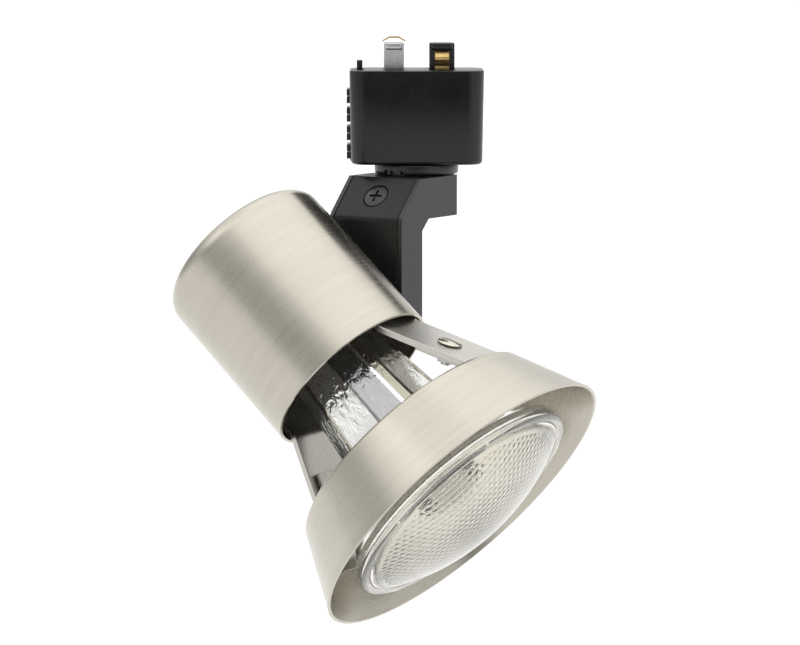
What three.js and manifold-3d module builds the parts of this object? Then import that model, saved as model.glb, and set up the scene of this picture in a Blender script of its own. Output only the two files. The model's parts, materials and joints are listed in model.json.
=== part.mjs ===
// Track spotlight: a track adapter with a spring latch, a cranked swivel arm, and a tilting head that
// holds a long-neck reflector lamp in a drawn can with a flared shade on two straps.
// Millimetres, +Z up. The origin is the middle of the adapter's top face, X runs along the track.
// The arm turns about Z; the head tilts about the arm's forward axis, at the foot of the arm.
import * as THREE from "three";
import { mergeVertices } from "three/addons/utils/BufferGeometryUtils.js";
import Module from "manifold-3d";

const wasm = await Module();
wasm.setup();

// ---------- driving dimensions ----------
const GAP = 0.3; // clearance between pieces that touch
const ARM_YAW = 33.8; // degrees that the arm is turned from facing straight out of the track's side
const HEAD_TILT = 41; // degrees that the lamp points below the horizontal

const ADAPTER = { length: 53.2, depth: 34.6, height: 37, corner: 7, wall: 2, top: 2.4, draft: 0.6 };
const COVER_TOP = -34.2; // upper face of the plate that closes the adapter
const COVER_BOTTOM = -36.6;
const LATCH_TRAVEL = 4;
const MAST_X = 10; // contact mast, ahead of the origin
const LUG_X = -9; // locking lug, behind the origin

const DISC = { radius: 16.7, top: -37.3, bottom: -41.25 };
const STEM = { radius: 4, bore: 2.8, top: -26.5, bottom: -48.8 };
const STEM_BOSS = { radius: 7, bottom: -50.8 }; // the arm's thick part that the stem is threaded into

const ARM_WIDTH = 34;
const ARM_TOP = -41.55;
const ARM_WALL = 1.8;
const COVER_THICKNESS = 2.2;
const BLOCK_BACK = -5.3; // rear of the arm's upper block, along the arm's forward direction
const BLOCK_CORNER = 2.5;
const BLOCK_BOTTOM = -57.45;
const BLOCK_FRONT = 22.5; // where the sloping front starts
const LEG_BACK = 21.5;
const LEG_FRONT = 36.1;
const LEG_START = -61.85; // where the inner slope meets the leg's back
const INNER_ELBOW = 16.9;
const KNEE = -56.15;
const KNEE_RADIUS = 5;
const PIVOT_HEIGHT = -95.45;

const HEAD_OFFSET = 74.8; // stem axis to head axis
const CAN = { radius: 34.9, wall: 1.2, rear: -43.9, mouth: 27.5, edge: 7 };
const FLARE = { rear: 63.6, rearRadius: 51.4, mouth: 93.6, mouthRadius: 64.2, sheet: 1.2 };
const STRAP = { width: 25, thickness: 2.4, outer: 30.8, start: -6, bend: 28.2, slope: 0.485, end: 64.8 };
const TAB = { width: 18, thickness: 1.5, start: 43, jogStart: 67.5, jogEnd: 71.5, end: 76 };
const STRAP_SCREW_AT = 49.5;
const PIVOT_BOLT = { radius: 5, bore: 3.4, start: 26.2, end: 49 };

const LAMP_RIM = 91; // front plane of the lamp's rim, along the head axis
const LAMP_RADIUS = 48.2;
const DOME_HEIGHT = 14.6;
const LAMP_BASE_END = -13;
const FACETS = 9; // flats round the lamp's neck
const FACET_TURN = -3.5; // the direction that one flat faces, in degrees
const BURNER = { height: 83, heading: -128.3, radius: 4.2, half: 8, pinch: 2.2, end: 13.7 };

// ---------- materials ----------
function finish(color, roughness, metalness) {
  return new THREE.MeshStandardMaterial({ color, roughness, metalness });
}
const BLACK_PAINT = finish(0x2a2a29, 0.5, 0.2);
const BLACK_PLASTIC = finish(0x1f1f20, 0.45, 0);
const NICKEL = finish(0xc9c4b8, 0.32, 1);
const ZINC = finish(0xa9abad, 0.4, 1);
const BRASS = finish(0xb5954a, 0.35, 1);
const PORCELAIN = finish(0xe9e4d8, 0.4, 0);
const SILVERED_GLASS = finish(0xd5d5d0, 0.08, 1);
const CLEAR_GLASS = finish(0xdfe6e6, 0.05, 0);
const LEAD_BLACK = finish(0x151515, 0.6, 0);
const LEAD_WHITE = finish(0xd8d6d0, 0.6, 0);

// ---------- solid helpers ----------
// A closed geometry as a manifold-3d solid.
function solidOf(geometry) {
  const bare = (geometry.index ? geometry.toNonIndexed() : geometry.clone());
  const positions = new THREE.BufferGeometry().setAttribute("position", bare.getAttribute("position"));
  const merged = mergeVertices(positions, 1e-4);
  const kept = [];
  for (let i = 0; i < merged.index.count; i += 3) {
    const [a, b, c] = [0, 1, 2].map((k) => merged.index.getX(i + k));
    if (a !== b && b !== c && c !== a) kept.push(a, b, c);
  }
  const vertProperties = new Float32Array(merged.attributes.position.array);
  const closed = new wasm.Mesh({ numProp: 3, vertProperties, triVerts: new Uint32Array(kept) });
  const body = new wasm.Manifold(closed);
  if (body.volume() > 0) return body;
  for (let i = 0; i < kept.length; i += 3) [kept[i + 1], kept[i + 2]] = [kept[i + 2], kept[i + 1]];
  return new wasm.Manifold(new wasm.Mesh({ numProp: 3, vertProperties, triVerts: new Uint32Array(kept) }));
}

// A solid as a three.js geometry.
function geometryOf(body) {
  const mesh = body.getMesh();
  const geometry = new THREE.BufferGeometry();
  geometry.setAttribute("position", new THREE.BufferAttribute(new Float32Array(mesh.vertProperties), 3));
  geometry.setIndex(new THREE.BufferAttribute(new Uint32Array(mesh.triVerts), 1));
  geometry.computeVertexNormals();
  return geometry;
}

function moved(geometry, x, y, z) {
  return geometry.translate(x, y, z);
}

// A box from its centre and size.
function block(x, y, z, sx, sy, sz) {
  return solidOf(moved(new THREE.BoxGeometry(sx, sy, sz), x, y, z));
}

// A revolved solid about Z from [radius, z] points, closed on itself or on the axis.
function turned(points, segments = 40) {
  const profile = points.map(([r, z]) => new THREE.Vector2(r, z));
  if (points[0][0] > 0 || points.at(-1)[0] > 0) profile.push(profile[0].clone());
  return solidOf(new THREE.LatheGeometry(profile, segments).rotateX(Math.PI / 2));
}

// A cylinder about Z between two heights.
function rod(radius, low, high, segments = 24) {
  return solidOf(
    moved(
      new THREE.CylinderGeometry(radius, radius, high - low, segments).rotateX(Math.PI / 2),
      0,
      0,
      (low + high) / 2,
    ),
  );
}

// A ring about Z.
function ring(outer, inner, low, high, segments = 20) {
  return rod(outer, low, high, segments).subtract(rod(inner, low - 1, high + 1, segments));
}

function hexNut(acrossCorners, bore, low, high) {
  return rod(acrossCorners / 2, low, high, 6).subtract(rod(bore, low - 1, high + 1, 18));
}

// A plate from an outline in X and Y, between two heights.
function plate(shape, low, high, curveSegments = 6) {
  const settings = { depth: high - low, bevelEnabled: false, curveSegments };
  const geometry = new THREE.ExtrudeGeometry(shape, settings);
  return solidOf(moved(geometry, 0, 0, low));
}

// A bar from an outline in X and Z, centred on Y = 0.
function bar(points, width, curveSegments = 6) {
  const given = points instanceof THREE.Shape;
  const shape = given ? points : new THREE.Shape(points.map(([x, z]) => new THREE.Vector2(x, z)));
  const geometry = new THREE.ExtrudeGeometry(shape, { depth: width, bevelEnabled: false, curveSegments });
  return solidOf(moved(geometry.rotateX(Math.PI / 2), 0, width / 2, 0));
}

function roundedRectangle(halfX, halfY, radius) {
  const shape = new THREE.Shape();
  shape.moveTo(-halfX + radius, -halfY);
  shape.lineTo(halfX - radius, -halfY);
  shape.absarc(halfX - radius, -halfY + radius, radius, -Math.PI / 2, 0);
  shape.lineTo(halfX, halfY - radius);
  shape.absarc(halfX - radius, halfY - radius, radius, 0, Math.PI / 2);
  shape.lineTo(-halfX + radius, halfY);
  shape.absarc(-halfX + radius, halfY - radius, radius, Math.PI / 2, Math.PI);
  shape.lineTo(-halfX, -halfY + radius);
  shape.absarc(-halfX + radius, -halfY + radius, radius, Math.PI, Math.PI * 1.5);
  return shape;
}

// An insulated wire of round section along a smooth curve.
function wire(points, radius, steps = 14) {
  const curve = new THREE.CatmullRomCurve3(points.map(([x, y, z]) => new THREE.Vector3(x, y, z)));
  const section = new THREE.Shape().absarc(0, 0, radius, 0, Math.PI * 2);
  const settings = { steps, extrudePath: curve, curveSegments: 3, bevelEnabled: false };
  return solidOf(new THREE.ExtrudeGeometry(section, settings));
}

// Turns a solid made about Z so that its axis runs along +X.
function alongX(body) {
  return body.rotate([0, 90, 0]);
}

const object = new THREE.Group();

function add(group, name, body, material) {
  const mesh = new THREE.Mesh(geometryOf(body), material);
  mesh.name = name;
  group.add(mesh);
  return mesh;
}

// ---------- adapter ----------
// A rounded block that narrows a little towards the bottom; inset shrinks it all round.
function adapterBlock(inset, top, bottom) {
  const geometry = new THREE.ExtrudeGeometry(
    roundedRectangle(ADAPTER.length / 2 - inset, ADAPTER.depth / 2 - inset, ADAPTER.corner - inset),
    { depth: top - bottom, bevelEnabled: false, curveSegments: 4 },
  );
  geometry.translate(0, 0, bottom);
  const position = geometry.getAttribute("position");
  for (let i = 0; i < position.count; i++) {
    const narrower = (ADAPTER.draft * -position.getZ(i)) / ADAPTER.height;
    position.setX(i, position.getX(i) * (1 - (narrower * 2) / ADAPTER.length));
    position.setY(i, position.getY(i) * (1 - (narrower * 2) / ADAPTER.depth));
  }
  return solidOf(geometry);
}

const COVER_SCREWS = [
  [18.5, -10.5],
  [-13, 11.5],
];
const LATCH_SLOT = { halfWidth: 7, top: -5 };

function adapterHousing() {
  const { wall, top, height, length } = ADAPTER;
  let body = adapterBlock(0, 0, -height + 0.8).add(adapterBlock(0.8, -2, -height));
  body = body.subtract(adapterBlock(wall, -top, -height - 1));
  for (const [x, y] of COVER_SCREWS)
    body = body.add(rod(3.2, COVER_TOP + GAP, -top + 0.5, 16).translate([x, y, 0]));
  for (const [x, y] of COVER_SCREWS)
    body = body.subtract(rod(1.7, COVER_TOP - 1, COVER_TOP + 9, 12).translate([x, y, 0]));
  const slotHeight = height + LATCH_SLOT.top + 2;
  const slotMiddle = LATCH_SLOT.top - slotHeight / 2;
  const slot = block(-length / 2, 0, slotMiddle, 8, LATCH_SLOT.halfWidth * 2, slotHeight);
  const mastHole = block(MAST_X, 0, 0, 10.6, 14.4, 8);
  const lugHole = block(LUG_X, 0, 0, 8.6, 8.6, 8);
  const tongueHole = block(-22.5, 0, 0, 3.2, 9, 8);
  return body.subtract(slot).subtract(mastHole).subtract(lugHole).subtract(tongueHole);
}

function adapterBaseCover() {
  let body = adapterBlock(ADAPTER.wall + GAP, COVER_TOP, COVER_BOTTOM);
  for (const [x, y] of COVER_SCREWS) {
    body = body.subtract(rod(1.7, COVER_BOTTOM - 1, COVER_TOP + 1, 12).translate([x, y, 0]));
    body = body.subtract(rod(3, COVER_BOTTOM - 1, COVER_BOTTOM + 1.4, 20).translate([x, y, 0]));
  }
  const pad = block(-ADAPTER.length / 2 + 1, 0, COVER_TOP, 5.2, LATCH_SLOT.halfWidth * 2 + 0.6, 8);
  return body.subtract(rod(STEM.radius + GAP, COVER_BOTTOM - 1, COVER_TOP + 1)).subtract(pad);
}

function coverScrew(x, y) {
  const head = rod(2.6, COVER_BOTTOM, COVER_BOTTOM + 1.1, 20);
  const shank = rod(1.35, COVER_BOTTOM + 0.6, COVER_TOP + 7, 12);
  const slot = block(0, 0, COVER_BOTTOM, 6, 0.7, 1);
  return head.add(shank).subtract(slot).translate([x, y, 0]);
}

// A post that stands through the adapter's top, with a foot below it and locking wings above.
function lockingPost(x, neckX, neckY, wingHalf) {
  const foot = block(x, 0, -ADAPTER.top - GAP - 1, neckX + 4, neckY + 4, 2);
  const neck = block(x, 0, 3.5, neckX, neckY, 14);
  const wings = block(x, 0, 9.3, neckX - 2, wingHalf * 2, 2.4);
  return foot.add(neck).add(wings);
}

function contactMast() {
  const slots = block(MAST_X, 5.9, -3.4, 6.6, 2.8, 6).add(block(MAST_X, -5.9, -3.4, 6.6, 2.8, 6));
  return lockingPost(MAST_X, 10, 9, 7.4).subtract(slots);
}

// A bowed contact strip beside the mast; side is +1 or -1 across the track.
function sideContact(side) {
  const inner = [
    [4.9, -9],
    [4.9, 1.5],
    [6.3, 4],
    [6.3, 5],
    [4.9, 7.4],
  ];
  const outer = inner.map(([y, z]) => [y + 0.7, z]).reverse();
  const strip = bar([...inner, ...outer], 5.6).rotate([0, 0, 90]).translate([MAST_X, 0, 0]);
  return side > 0 ? strip : strip.mirror([0, 1, 0]);
}

function groundContact() {
  const under = [[-4.6, 10.8], [-1.8, 12.4], [1.8, 12.4], [4.6, 10.8]];
  const over = [[4.6, 11.4], [1.9, 13], [-1.9, 13], [-4.6, 11.4]];
  return bar([...under, ...over], 4).translate([LUG_X, 0, 0]);
}

const adapter = new THREE.Group();
object.add(adapter);
add(adapter, "adapter_housing", adapterHousing(), BLACK_PLASTIC);
add(adapter, "adapter_base_cover", adapterBaseCover(), BLACK_PLASTIC);
COVER_SCREWS.forEach(([x, y], i) => add(adapter, `cover_screw_${i + 1}`, coverScrew(x, y), ZINC));
add(adapter, "contact_mast", contactMast(), BLACK_PLASTIC);
add(adapter, "locking_lug", lockingPost(LUG_X, 8, 8, 7.4), ZINC);
add(adapter, "line_contact", sideContact(1), BRASS);
add(adapter, "neutral_contact", sideContact(-1), BRASS);
add(adapter, "ground_contact", groundContact(), BRASS);

// ---------- latch ----------
const RIB = { pairs: 4, pitch: 7.3, height: 2.5, first: -7.6 };

function latchSlide() {
  const face = -ADAPTER.length / 2 + 0.9;
  const inner = -23.9;
  const padWidth = LATCH_SLOT.halfWidth * 2 - 0.8;
  const pad = block((face + inner) / 2 - 0.3, 0, -21.8, inner - face + 0.6, padWidth, 28.4);
  const carrier = block(-22.6, 0, -17.5, 2.2, 17, 24);
  const tongue = block(-22.6, 0, -1.6, 2.2, 8, 10.4);
  const shelf = block(-18, 0, -13, 8, 7.6, 2);
  const bridge = block(-23.8, 0, -17.5, 1.2, padWidth, 24);
  let body = pad.add(carrier).add(tongue).add(shelf).add(bridge);
  for (let pair = 0; pair < RIB.pairs; pair++)
    for (let k = 0; k < 2; k++) {
      const z = RIB.first - pair * RIB.pitch - k * (RIB.height + 0.6) - RIB.height / 2;
      body = body.add(block(face - 0.7, 0, z, 2.6, padWidth, RIB.height));
    }
  return body;
}

function latchSpring() {
  const top = -14 - GAP;
  const bottom = COVER_TOP + GAP;
  const turns = 5;
  const points = [];
  for (let i = 0; i <= turns * 8; i++) {
    const angle = (i / 8) * Math.PI * 2;
    const z = bottom + 0.5 + ((top - bottom - 1) * i) / (turns * 8);
    points.push([-17.6 + 2.6 * Math.cos(angle), 2.6 * Math.sin(angle), z]);
  }
  return wire(points, 0.45, turns * 8);
}

const latch = new THREE.Group();
object.add(latch);
add(latch, "latch_slide", latchSlide(), BLACK_PLASTIC);
add(adapter, "latch_spring", latchSpring(), ZINC);

// ---------- swivel ----------
// The arm's own frame: X is the arm's forward direction, Y runs across it, Z is up.
const arm = new THREE.Group();
arm.rotation.z = -THREE.MathUtils.degToRad(90 + ARM_YAW);
object.add(arm);

function swivelDisc() {
  const { radius, top, bottom } = DISC;
  let body = turned([
    [STEM.radius + GAP, top],
    [STEM.radius + GAP, bottom],
    [radius - 0.7, bottom],
    [radius, bottom + 0.8],
    [radius, top - 0.3],
    [radius - 0.3, top],
  ], 36);
  const stop = block(radius, 0, bottom + 0.8, 3.2, 9, 2.6);
  const stud = alongX(rod(0.8, radius - 2.2, radius - 0.6, 10));
  const studs = [-2.4, 2.4].map((y) => stud.translate([0, y, bottom + 0.9]));
  body = body.subtract(stop).add(studs[0]).add(studs[1]);
  return body.rotate([0, 0, 0.3]);
}

function swivelStem() {
  return ring(STEM.radius, STEM.bore, STEM.bottom, STEM.top, 24);
}

// ---------- arm ----------
const SLOPE = new THREE.Vector2(LEG_FRONT - BLOCK_FRONT, KNEE - ARM_TOP).normalize();
const SLOPE_OUT = new THREE.Vector2(-SLOPE.y, SLOPE.x);
const ROUND_END = ARM_WIDTH / 2;
const ARM_SCREW_AT = 0.47; // share of the way down the slope

// A point on the sloping front, pushed in by a depth.
function onSlope(share, depth = 0) {
  const length = Math.hypot(LEG_FRONT - BLOCK_FRONT, KNEE - ARM_TOP);
  return [
    BLOCK_FRONT + SLOPE.x * length * share - SLOPE_OUT.x * depth,
    ARM_TOP + SLOPE.y * length * share - SLOPE_OUT.y * depth,
  ];
}

// Follows the sloping front and the leg's front, rounded at the knee, at a depth below them.
function frontLine(shape, depth, startHeight, endHeight) {
  const [sx, sz] = onSlope(0, depth);
  const startX = sx + ((startHeight - sz) * SLOPE.x) / SLOPE.y;
  const radius = KNEE_RADIUS - depth;
  const centreX = LEG_FRONT - KNEE_RADIUS;
  const [kx, kz] = onSlope(0, KNEE_RADIUS);
  const centreZ = kz + ((centreX - kx) * SLOPE.y) / SLOPE.x;
  shape.lineTo(startX, startHeight);
  shape.absarc(centreX, centreZ, radius, Math.atan2(SLOPE_OUT.y, SLOPE_OUT.x), 0, true);
  shape.lineTo(LEG_FRONT - depth, endHeight);
  return startX;
}

// A screw or a boss made about Z, stood on the sloping front with +Z pointing out of it.
function onSlopeAxis(body) {
  const [x, z] = onSlope(ARM_SCREW_AT);
  const angle = THREE.MathUtils.radToDeg(Math.atan2(SLOPE_OUT.x, SLOPE_OUT.y));
  return body.rotate([0, angle, 0]).translate([x, 0, z]);
}

// The outline of the leg's round foot, across the arm, grown or shrunk by an inset.
function footPrism(inset) {
  const half = ARM_WIDTH / 2 - inset;
  const shape = new THREE.Shape();
  shape.moveTo(half, 0);
  shape.lineTo(half, PIVOT_HEIGHT);
  shape.absarc(0, PIVOT_HEIGHT, half, 0, -Math.PI, true);
  shape.lineTo(-half, 0);
  const geometry = new THREE.ExtrudeGeometry(shape, { depth: 80, bevelEnabled: false, curveSegments: 12 });
  return solidOf(geometry.rotateX(Math.PI / 2).rotateZ(Math.PI / 2).translate(-20, 0, 0));
}

function frontBand(depth, top) {
  const lowEnd = PIVOT_HEIGHT - ROUND_END;
  const inner = new THREE.Shape();
  const innerStart = frontLine(inner, depth, top, lowEnd);
  const outline = new THREE.Shape();
  outline.moveTo(innerStart, top);
  frontLine(outline, 0, top, lowEnd);
  outline.lineTo(LEG_FRONT - depth, lowEnd);
  for (const point of inner.getPoints(6).reverse().slice(1, -1)) outline.lineTo(point.x, point.y);
  return bar(outline, ARM_WIDTH);
}

function armBody() {
  const outline = new THREE.Shape();
  outline.moveTo(BLOCK_BACK, BLOCK_BOTTOM);
  outline.lineTo(BLOCK_BACK, ARM_TOP);
  frontLine(outline, 0, ARM_TOP, PIVOT_HEIGHT - ROUND_END);
  outline.lineTo(LEG_BACK, PIVOT_HEIGHT - ROUND_END);
  outline.lineTo(LEG_BACK, LEG_START);
  outline.lineTo(INNER_ELBOW, BLOCK_BOTTOM);
  let body = bar(outline, ARM_WIDTH).intersect(footPrism(0));
  const plan = roundedRectangle(40, ARM_WIDTH / 2, BLOCK_CORNER);
  body = body.intersect(plate(plan, -130, -30).translate([BLOCK_BACK + 40, 0, 0]));

  const hollow = bar([
    [BLOCK_BACK + ARM_WALL, ARM_TOP - ARM_WALL],
    [60, ARM_TOP - ARM_WALL],
    [60, -130],
    [LEG_BACK + ARM_WALL, -130],
    [LEG_BACK + ARM_WALL, LEG_START + 1],
    [INNER_ELBOW + 1, BLOCK_BOTTOM + ARM_WALL],
    [BLOCK_BACK + ARM_WALL, BLOCK_BOTTOM + ARM_WALL],
  ], ARM_WIDTH);
  const stemBoss = rod(STEM_BOSS.radius, STEM_BOSS.bottom, ARM_TOP, 20);
  body = body.subtract(hollow.intersect(footPrism(ARM_WALL)).subtract(stemBoss));
  body = body.subtract(frontBand(COVER_THICKNESS + GAP, ARM_TOP + 1).intersect(footPrism(ARM_WALL)));
  const boss = onSlopeAxis(rod(3.4, -17.5, -3, 16)).subtract(onSlopeAxis(rod(1.7, -12, 0, 12)));
  return body.add(boss).subtract(rod(STEM.radius + GAP, STEM_BOSS.bottom - 1, ARM_TOP + 1));
}

function armCover() {
  const pivotHole = alongX(rod(PIVOT_BOLT.radius + GAP, 20, 60)).translate([0, 0, PIVOT_HEIGHT]);
  return frontBand(COVER_THICKNESS, ARM_TOP)
    .intersect(footPrism(ARM_WALL + GAP))
    .subtract(pivotHole)
    .subtract(onSlopeAxis(rod(1.9, -4, 4, 12)))
    .subtract(onSlopeAxis(rod(5.3, -1.5, 4, 28)));
}

function armCoverScrew() {
  const head = turned([[0, -1.2], [4.7, -1.2], [5, -0.9], [5, -0.2], [4.4, 0], [0, 0.1]], 28);
  const cross = block(0, 0, 0, 5.2, 1, 1.6).add(block(0, 0, 0, 1, 5.2, 1.6));
  const shank = rod(1.4, -10, -1, 12);
  return onSlopeAxis(head.subtract(cross).add(shank));
}

add(arm, "swivel_disc", swivelDisc(), BLACK_PAINT);
add(arm, "swivel_stem", swivelStem(), ZINC);
add(arm, "stem_flat_washer", ring(8.5, STEM.radius + GAP, -33.9, -32.9), ZINC);
add(arm, "stem_spring_washer", ring(8, STEM.radius + GAP, -32.6, -31.6), ZINC);
add(arm, "stem_upper_nut", hexNut(15, STEM.radius + GAP, -31.3, -27.8), ZINC);
add(arm, "arm_body", armBody(), BLACK_PAINT);
add(arm, "arm_cover", armCover(), BLACK_PAINT);
add(arm, "arm_cover_screw", armCoverScrew(), BLACK_PAINT);

// ---------- head ----------
// The head's own frame: X is still the arm's forward direction and Z is the lamp's axis.
// Its origin is on the pivot axis.
const head = new THREE.Group();
head.position.set(HEAD_OFFSET, 0, PIVOT_HEIGHT);
head.rotation.x = -THREE.MathUtils.degToRad(90 + HEAD_TILT);
arm.add(head);

// Points of a quarter circle, from one angle to another.
function arcPoints(cx, cz, radius, from, to, steps) {
  const points = [];
  for (let i = 0; i <= steps; i++) {
    const angle = THREE.MathUtils.degToRad(from + ((to - from) * i) / steps);
    points.push([cx + radius * Math.cos(angle), cz + radius * Math.sin(angle)]);
  }
  return points;
}

function rearHousing() {
  const { radius, wall, rear, mouth, edge } = CAN;
  const body = turned([
    [0, rear],
    ...arcPoints(radius - edge, rear + edge, edge, -90, 0, 4),
    [radius, mouth],
    [radius - wall, mouth],
    ...arcPoints(radius - edge, rear + edge, edge - wall, 0, -90, 3),
    [0, rear + wall],
  ], 40);
  return body.subtract(alongX(rod(PIVOT_BOLT.radius + GAP, -50, -20)));
}

// From a distance along the arm's forward direction to this frame's X.
const fromArm = (distance) => distance - HEAD_OFFSET;

function pivotBolt() {
  const start = fromArm(PIVOT_BOLT.start);
  const end = fromArm(PIVOT_BOLT.end);
  return alongX(ring(PIVOT_BOLT.radius, PIVOT_BOLT.bore, start, end, 24));
}

// A washer, spacer or nut on the pivot bolt.
function onPivot(body, low) {
  return alongX(body).translate([fromArm(low), 0, 0]);
}

const CAN_SIDE = HEAD_OFFSET - CAN.radius; // where the can's side comes nearest to the arm
const EAR_HALF = 7; // half the width of the bracket's pivot ear

// The bridge that carries the lampholder: a plate across the can, two folded legs, and a pivot ear.
function socketBracket() {
  const floor = -29.5;
  const legOuter = STRAP.outer - STRAP.thickness - GAP;
  const bridge = block(0, 0, floor + 0.75, 24, legOuter * 2, 1.5);
  const legs = [1, -1].map((side) => block(0, side * (legOuter - 0.75), (floor + 6) / 2, 24, 1.5, 6 - floor));
  const earOuter = CAN.radius - CAN.wall - 1.3;
  const ear = block(-earOuter + 0.75, 0, (floor + 8) / 2, 1.5, EAR_HALF * 2, 8 - floor);
  const earFoot = block(-earOuter / 2, 0, floor + 0.75, earOuter, EAR_HALF * 2, 1.5);
  const leadHole = rod(3, floor - 1, floor + 3, 16).translate([0, 21, 0]);
  const body = bridge.add(legs[0]).add(legs[1]).add(ear).add(earFoot);
  return body
    .subtract(alongX(rod(PIVOT_BOLT.radius + GAP, -40, -20)))
    .subtract(leadHole)
    .subtract(rod(1.9, floor - 1, floor + 3, 12).translate([8, 0, 0]))
    .subtract(rod(1.9, floor - 1, floor + 3, 12).translate([-8, 0, 0]))
    .subtract(rivetHoles());
}

const RIVETS = [-2, 3.5];

function rivetHoles() {
  return RIVETS.map((z) => rod(1.5 + GAP, -40, 40, 12).rotate([90, 0, 0]).translate([0, 0, z]))
    .reduce((a, b) => a.add(b));
}

// The strap's centre line, as [distance from the axis, distance along it] for its outer face.
function strapOuter(z) {
  return STRAP.outer + Math.max(0, z - STRAP.bend) * STRAP.slope;
}

// A strip bent in the plane of the head axis: points are [z, distance from the axis] of its outer face.
function strip(points, thickness, width) {
  const inner = points.map(([z, y], i) => {
    const [z0, y0] = points[Math.max(0, i - 1)];
    const [z1, y1] = points[Math.min(points.length - 1, i + 1)];
    const length = Math.hypot(z1 - z0, y1 - y0);
    return [z + ((y1 - y0) / length) * thickness, y - ((z1 - z0) / length) * thickness];
  });
  const shape = new THREE.Shape([...points, ...inner.reverse()].map(([z, y]) => new THREE.Vector2(y, z)));
  const geometry = new THREE.ExtrudeGeometry(shape, { depth: width, bevelEnabled: false });
  return solidOf(geometry.rotateX(Math.PI / 2).rotateZ(Math.PI / 2).translate(-width / 2, 0, 0));
}

function strap() {
  const points = [
    [STRAP.start, STRAP.outer],
    [STRAP.bend - 1.5, STRAP.outer],
    [STRAP.bend + 1.5, strapOuter(STRAP.bend + 1.5)],
    [STRAP.end, strapOuter(STRAP.end)],
  ];
  const whole = strip(points, STRAP.thickness, STRAP.width);
  return whole.subtract(rivetHoles()).subtract(strapScrewAxis(rod(2, -9, 9, 16)));
}

// A body made about Z, stood on the strap's outer face at the screw, with +Z pointing outwards.
function strapScrewAxis(body) {
  const angle = THREE.MathUtils.radToDeg(Math.atan(STRAP.slope));
  return body.rotate([-90 - angle, 0, 0]).translate([0, strapOuter(STRAP_SCREW_AT), STRAP_SCREW_AT]);
}

function flareInner(z) {
  const { rear, rearRadius, mouth, mouthRadius, sheet } = FLARE;
  return rearRadius + ((z - rear) * (mouthRadius - rearRadius)) / (mouth - rear) - sheet * 1.1;
}

// The bracket between strap and flare: flat against the strap, then along the inside of the flare.
function flareBracket() {
  const below = (STRAP.thickness + GAP) * Math.hypot(1, STRAP.slope);
  const half = TAB.width / 2;
  const alongStrap = (z) => [z, strapOuter(z) - below];
  const alongFlare = (z) => [z, Math.sqrt(flareInner(z) ** 2 - half ** 2) - GAP];
  const onStrap = [alongStrap(TAB.start), alongStrap(TAB.jogStart)];
  const points = [...onStrap, alongFlare(TAB.jogEnd), alongFlare(TAB.end)];
  return strip(points, TAB.thickness, TAB.width).subtract(strapScrewAxis(rod(2, -9, 9, 16)));
}

function strapScrew() {
  const pan = turned([[0, GAP], [4.6, GAP], [4.7, 0.7], [4, 1.1], [2, 1.4], [0, 1.5]], 24);
  const slot = block(0, 0, 1.4, 1.1, 10, 1.3);
  const shank = rod(1.7, -8, 0.8, 12);
  return strapScrewAxis(pan.subtract(slot).add(shank));
}

function strapNut() {
  return strapScrewAxis(hexNut(7.4, 1.7 + GAP, -7, -4.5));
}

function strapRivet(z) {
  const low = STRAP.outer - STRAP.thickness - GAP - 1.5;
  const shank = rod(1.5, low - 1.2, STRAP.outer + 0.8, 10);
  const tail = rod(2.4, low - 1.2, low - GAP, 12);
  const headEnd = rod(2.6, STRAP.outer + GAP, STRAP.outer + 1.2, 12);
  return shank.add(tail).add(headEnd).rotate([-90, 0, 0]).translate([0, 0, z]);
}

function flareShade() {
  const { rear, rearRadius, mouth, mouthRadius, sheet } = FLARE;
  return turned([
    [rearRadius - 1, rear],
    [rearRadius - 0.1, rear + 0.5],
    [rearRadius + 0.55, rear + 1.5],
    [mouthRadius, mouth],
    [mouthRadius - sheet * 1.1, mouth],
    [rearRadius + 0.55 - sheet * 1.1, rear + 1.5],
    [rearRadius - 1, rear + 0.6],
  ], 60);
}

// ---------- lampholder ----------
const SHELL = { low: -9.6, pitch: 3.63, radius: 13.1 };

// Thread crests as soft rings: [radius, z] points going up.
function threadPoints(crest, root, low, turns) {
  const points = [];
  for (let i = 0; i < turns; i++) {
    const z = low + i * SHELL.pitch;
    points.push([root, z], [crest, z + SHELL.pitch / 2]);
  }
  points.push([root, low + turns * SHELL.pitch]);
  return points;
}

function lampholderBody() {
  return turned([
    [0, -27.7],
    [17, -27.7],
    [18, -26.7],
    [18, -12],
    [19, -10],
    [19, 8],
    [18, 9],
    [15.2, 9],
    [15.2, -17],
    [4, -17],
    [4, -22.5],
    [0, -22.5],
  ], 32)
    .subtract(rod(1.6, -30, -22, 12).translate([8, 0, 0]))
    .subtract(rod(1.6, -30, -22, 12).translate([-8, 0, 0]));
}

function screwShell() {
  const low = SHELL.low - 4;
  const inside = threadPoints(SHELL.radius + 0.5, SHELL.radius - 0.4, SHELL.low, 4);
  return turned([
    [SHELL.radius + 1.2, low],
    ...inside.map(([r, z]) => [r + 0.7, z]),
    [SHELL.radius + 1.2, 7],
    [SHELL.radius + 0.6, 7],
    ...inside.reverse(),
    [SHELL.radius + 0.5, low],
  ], 24);
}

function centreContact() {
  return bar([[-7, -16.6], [7, -16.6], [2.4, -13.3], [-2.4, -13.3], [-5.4, -15.2], [-7, -15.9]], 5);
}

function holderScrew(x) {
  return rod(3, -31.8, -29.8, 16).add(rod(1.3, -30, -22.6, 10)).translate([x, 0, 0]);
}

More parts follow.
